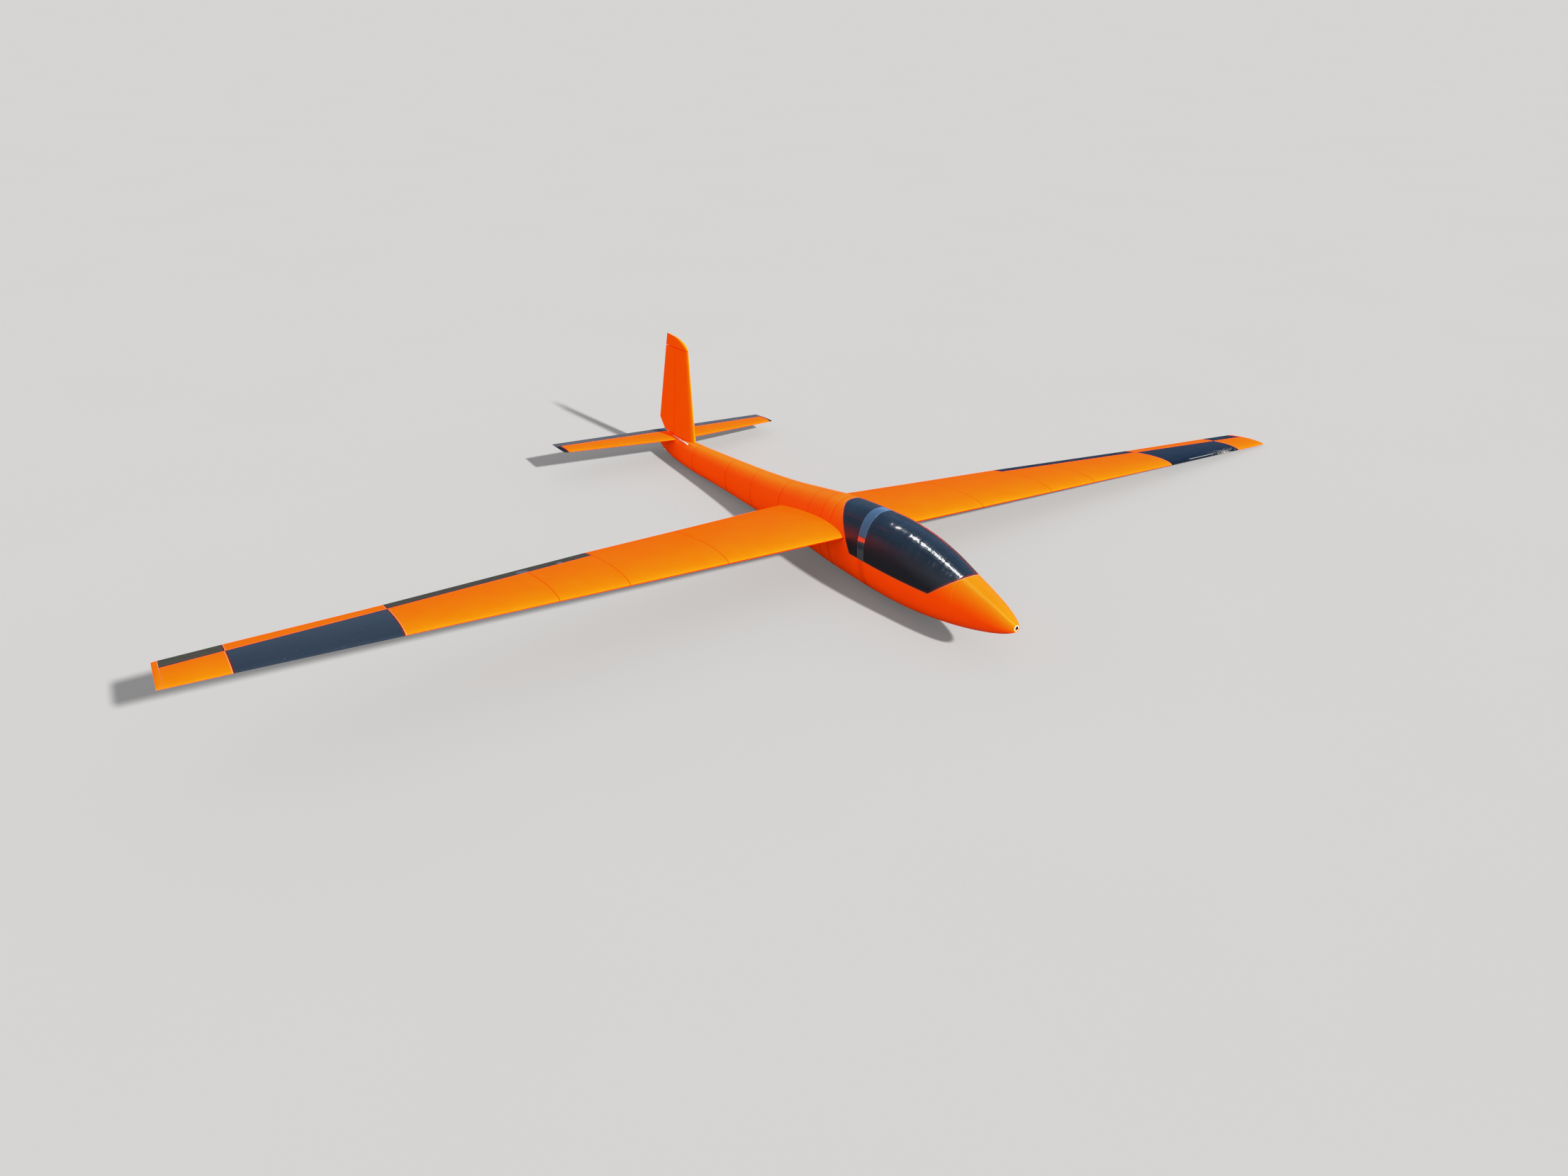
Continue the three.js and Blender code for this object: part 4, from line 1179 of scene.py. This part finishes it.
aileron_hinge = slanted(HINGE_AT_START, HINGE_SLOPE, at=AILERON_START)
print("height of the aileron's hinge at its near end, mm:",
      round(wing_surface(AILERON_START, aileron_hinge(AILERON_START), 1), 1))


# %% Wing section
def wing_station(y, rake=0.0, rear=None, front=None, undercut=0.0, thin=1.0):
    """One section. A rake runs the cut in or out towards the trailing edge, for each millimetre back."""
    return {"out": y, "rake": rake, "thin": thin, "undercut": undercut,
            "front": straight(WING, y, LEAD) if front is None else front,
            "rear": straight(WING, y, TRAIL) if rear is None else rear}


def wing_body(stations, hand, sides=65, flat_front=False):
    """A closed length of one wing. hand is 1 for the left wing and -1 for the right."""
    def shape(station, share, side):
        start = station["front"] - (station["undercut"] if side < 0 else 0)
        x = start + (station["rear"] - start) * share
        out = station["out"] + station["rake"] * (straight(WING, station["out"], LEAD) - x)
        return Vector((x, hand * out, wing_surface(out, x, side, station["thin"])))

    return blade(stations, shape, sides, flat_front)


def crowded(start, end, count, power):
    """Places from start to end that lie closer and closer together."""
    return [start + (end - start) * (1 - (1 - i / (count - 1)) ** power) for i in range(count)]


print("station at the root rib:", wing_station(ROOT_RIB))

# %% Servo cover under the wing
COVER_REAR, COVER_FRONT, COVER_IN, COVER_OUT = -392, -352, 548, 600
COVER_THICK, COVER_REACH = 1.6, 10


def cover_block(hand, grow):
    """The block that the servo cover fills under a wing, grown by a gap for its hole."""
    level = wing_surface((COVER_IN + COVER_OUT) / 2, (COVER_FRONT + COVER_REAR) / 2, -1)
    low, high = sorted((hand * COVER_IN, hand * COVER_OUT))
    return slab((COVER_REAR - grow, low - grow, level - COVER_REACH),
                (COVER_FRONT + grow, high + grow, level + COVER_THICK + grow))


print("servo cover, mm:", COVER_FRONT - COVER_REAR, "by", COVER_OUT - COVER_IN)

# %% Panels, ailerons and tip cap
SIDES = (("left", 1), ("right", -1))
PANELS = [  # name, near end, far end, whether an aileron hangs behind it
    ("inner", ROOT_RIB, 250, False), ("middle", 250, 410, False), ("aileron_bay", 410, 516, True),
    ("outer", 516, NAVY_START, True), ("navy", NAVY_START, NAVY_END, True),
    ("tip", NAVY_END, CAP_START, True)]
AILERONS = [("inner", AILERON_START, NAVY_START), ("middle", NAVY_START, NAVY_END),
            ("outer", NAVY_END, CAP_START)]
CAP_RINGS = [  # out, share of the thickness, trailing edge drawn in
    (996, 1, 0), (1000, 0.92, 0.2), (1002, 0.7, 0.8), (1003, 0.4, 1.8)]
CAP_STATIONS, CAP_CROWDING = 12, 1.6
PAST_THE_WING = (-620, -250)


def cut_ends(near, far):
    """Both ends of a piece, with its share of the gap to the next one and the rake of the seam."""
    return [(y, y + gap, SEAM_RAKES.get(y, 0.0)) for y, gap in ((near, GAP / 2), (far, -GAP / 2))]


print("panels to a wing:", len(PANELS), "and lengths of aileron:", len(AILERONS))

# %% Both wings
for side, hand in SIDES:
    stub = wing_body([wing_station(STUB_START),
                      wing_station(ROOT_RIB - GAP / 2, SEAM_RAKES[ROOT_RIB])], hand)
    stub = carve(stub, ("DIFFERENCE", fuselage_body(*PAST_THE_WING, -GAP, step=8.0)))
    finish(stub, f"wing_root_{side}", "orange_shell", orange_film)
    for name, near, far, hinged in PANELS:
        panel = wing_body([wing_station(y, rake, rear=aileron_hinge(seam) + GAP if hinged else None)
                           for seam, y, rake in cut_ends(near, far)], hand)
        if name == "outer":
            cover = carve(panel.copy(), ("INTERSECT", cover_block(hand, 0)))
            finish(cover, f"servo_cover_{side}", "orange_film", orange_film)
            panel = carve(panel, ("DIFFERENCE", cover_block(hand, GAP)))
        if name == "navy":
            finish(panel, f"wing_navy_{side}", "navy_shell", navy_film)
        else:
            finish(panel, f"wing_{name}_{side}", "orange_film", bay_film if hinged else orange_film)
    cap = [wing_station(y + (0 if y > CAP_START else GAP / 2), SEAM_RAKES[CAP_START],
                        rear=straight(WING, y, TRAIL) + between(CAP_RINGS, y, 2),
                        thin=between(CAP_RINGS, y, 1))
           for y in crowded(CAP_START, SEMI_SPAN, CAP_STATIONS, CAP_CROWDING)]
    finish(wing_body(cap, hand), f"wing_cap_{side}", "orange_film", orange_film)
    for name, near, far in AILERONS:
        stations = []
        for seam, y, rake in cut_ends(near, far):
            hinge = aileron_hinge(seam)
            depth = wing_surface(seam, hinge, 1) - wing_surface(seam, hinge, -1)
            stations.append(wing_station(y, rake, front=hinge - GAP, undercut=depth * HINGE_BEVEL))
        strip = wing_body(stations, hand, sides=32, flat_front=True)
        dark = left_dark_strip if side == "left" else charcoal_strip
        slot, covering = ("orange_film", bay_film) if name == "middle" else ("charcoal_strip", dark)
        finish(strip, f"aileron_{side}_{name}", slot, covering, body=f"aileron_{side}")

# %% [markdown]
# ## Tailplane and elevator
#
# The tail surfaces share one symmetrical section. The elevator's slate film runs the whole span and
# its tips wrap round the ends of the stabiliser.

# %% Tail section
TAIL_THICKNESS = 0.085
STAB_HEIGHT, STAB_TIP, STAB_ROOT, STAB_TRAIL, STAB_EDGE = 38, 231, 0.4, -1023.6, 0.02
HORN_ROOT, HORN_GAP, HORN_OVERLAP = 224, 0.7, 3
HORN_RINGS = [  # out, share of the thickness
    (HORN_ROOT + HORN_GAP, 1), (226.5, 0.94), (228.6, 0.85), (230, 0.66), (STAB_TIP, 0.4)]
HAIR = 1e-6

stab_lead = slanted(start=-934.5, slope=-0.121)
stab_hinge = slanted(STAB_HINGE_AT_ROOT, STAB_HINGE_SLOPE)


def tail_half(x, lead, trail):
    """Half thickness of a tail surface at x, in millimetres."""
    return (lead - trail) * half_thickness((lead - x) / (lead - trail), TAIL_THICKNESS)


def stab_body(stations, sides=49, flat_front=False):
    """Stations are (distance out with its sign, front, rear, undercut, share of thickness)."""
    def shape(station, share, side):
        y, front, rear, undercut, thin = station
        start = front - (undercut if side < 0 else 0)
        x = start + (rear - start) * share
        half = max(tail_half(x, stab_lead(abs(y)), STAB_TRAIL), STAB_EDGE)
        if share < HAIR and not flat_front:
            half = 0
        return Vector((x, y, STAB_HEIGHT + side * thin * half))

    return blade(stations, shape, sides, flat_front)


print("stabiliser, chord at root and tip, mm:",
      [round(stab_lead(y) - STAB_TRAIL, 1) for y in (0, STAB_TIP)])

# %% Stabiliser and elevator
PAST_THE_STAB = (TAIL_END, -900)

for side, hand in SIDES:
    stab = stab_body([(hand * y, stab_lead(y), stab_hinge(y) + GAP, 0, 1) for y in (STAB_ROOT, HORN_ROOT)])
    stab = carve(stab, ("DIFFERENCE", fuselage_body(*PAST_THE_STAB, -GAP, step=4.0)))
    finish(stab, f"stabiliser_{side}", "orange_film", stab_film)


def elevator_station(y):
    reach = abs(y)
    undercut = 2 * tail_half(stab_hinge(reach), stab_lead(reach), STAB_TRAIL) * HINGE_BEVEL
    return (y, stab_hinge(reach) - GAP, STAB_TRAIL, undercut, 1)


span = HORN_ROOT + HORN_OVERLAP
elevator = stab_body([elevator_station(y) for y in (-span, 0, span)], sides=32, flat_front=True)
horns = [stab_body([(hand * y, stab_lead(y), STAB_TRAIL, 0, thin) for y, thin in HORN_RINGS])
         for _, hand in SIDES]
elevator = carve(elevator, *(("UNION", horn) for horn in horns))
finish(elevator, "elevator", "charcoal_strip", elevator_slate, body="elevator")

# %% [markdown]
# ## Fin and rudder
#
# The fin stands on the tail block. Its cap curves back from the leading edge, and the rudder hangs
# on the fin with its lower rear corner cut off above the elevator. The rudder's front edge is a
# wedge, so that it can swing both ways.

# %% Edges of the fin and rudder
FIN_BASE, FIN_MIDDLE, FIN_CAP_BASE, FIN_TOP, FIN_EDGE = 44.9, 130, 215, 237.2, 0.3
RUDDER_BASE, RUDDER_CUT_START, RUDDER_CUT_CORNER, RUDDER_TOP = 47, -994, 66, FIN_CAP_BASE - 1.2
NOSE_ROUNDING = 2.5

fin_lead = slanted(start=-877.2, slope=-0.139, at=42.4)
fin_hinge = slanted(start=-949.4, slope=0.03, at=46)
fin_trail = slanted(start=-1017.4, slope=0.2087, at=65.2)
FIN_CAP = [  # height, leading edge, share of the thickness
    (215, fin_lead(215), 1), (218.8, -904, 0.98), (222.9, -909.1, 0.92), (227, -917, 0.84),
    (230.8, -927.9, 0.74), (234, -942.9, 0.62), (236.2, -961.4, 0.5), (237.2, -976, 0.4),
]
CAP_ROWS, CAP_ROW_CROWDING = 21, 1.5
print("fin and rudder, chord at the foot, mm:", round(fin_lead(FIN_BASE) - fin_trail(FIN_BASE), 1))


# %% Sections of the fin and rudder
def fin_half(x, z):
    return max(tail_half(x, fin_lead(z), fin_trail(z)), FIN_EDGE)


def fin_point(station, share, side):
    """Where a point goes in the fin's section at (height, front, rear, share of thickness)."""
    z, front, rear, thin = station
    x = front + (rear - front) * share
    half = min(thin * fin_half(x, z), math.sqrt(max(front - x, 0) * NOSE_ROUNDING))
    return Vector((x, side * half, z))


def rudder_point(station, across, along):
    """Where a point of the unit circle goes in the rudder's section at (height, rear)."""
    z, rear = station
    front = fin_hinge(z) - GAP
    x = front + (rear - front) * (1 - along) / 2
    half = min(fin_half(x, z), max(front - x, 0) / HINGE_BEVEL)
    return Vector((x, math.copysign(half, across) if abs(across) > HAIR else 0, z))


# %% Fin, cap and rudder
fin = [(z, fin_lead(z), fin_hinge(z) + GAP, 1) for z in (FIN_BASE, FIN_MIDDLE, FIN_CAP_BASE - GAP)]
finish(blade(fin, fin_point, sides=49), "fin", "orange_film", fin_film)
fin_cap = [(z, between(FIN_CAP, z, 1), fin_trail(z), between(FIN_CAP, z, 2))
           for z in crowded(FIN_CAP_BASE, FIN_TOP, CAP_ROWS, CAP_ROW_CROWDING)]
finish(blade(fin_cap, fin_point, sides=49), "fin_cap", "orange_film", fin_film)
rudder = [(RUDDER_BASE, RUDDER_CUT_START)] + [(z, fin_trail(z)) for z in (RUDDER_CUT_CORNER, RUDDER_TOP)]
finish(loft(rudder, rudder_point, sides=48), "rudder", "orange_film", fin_film, body="rudder")
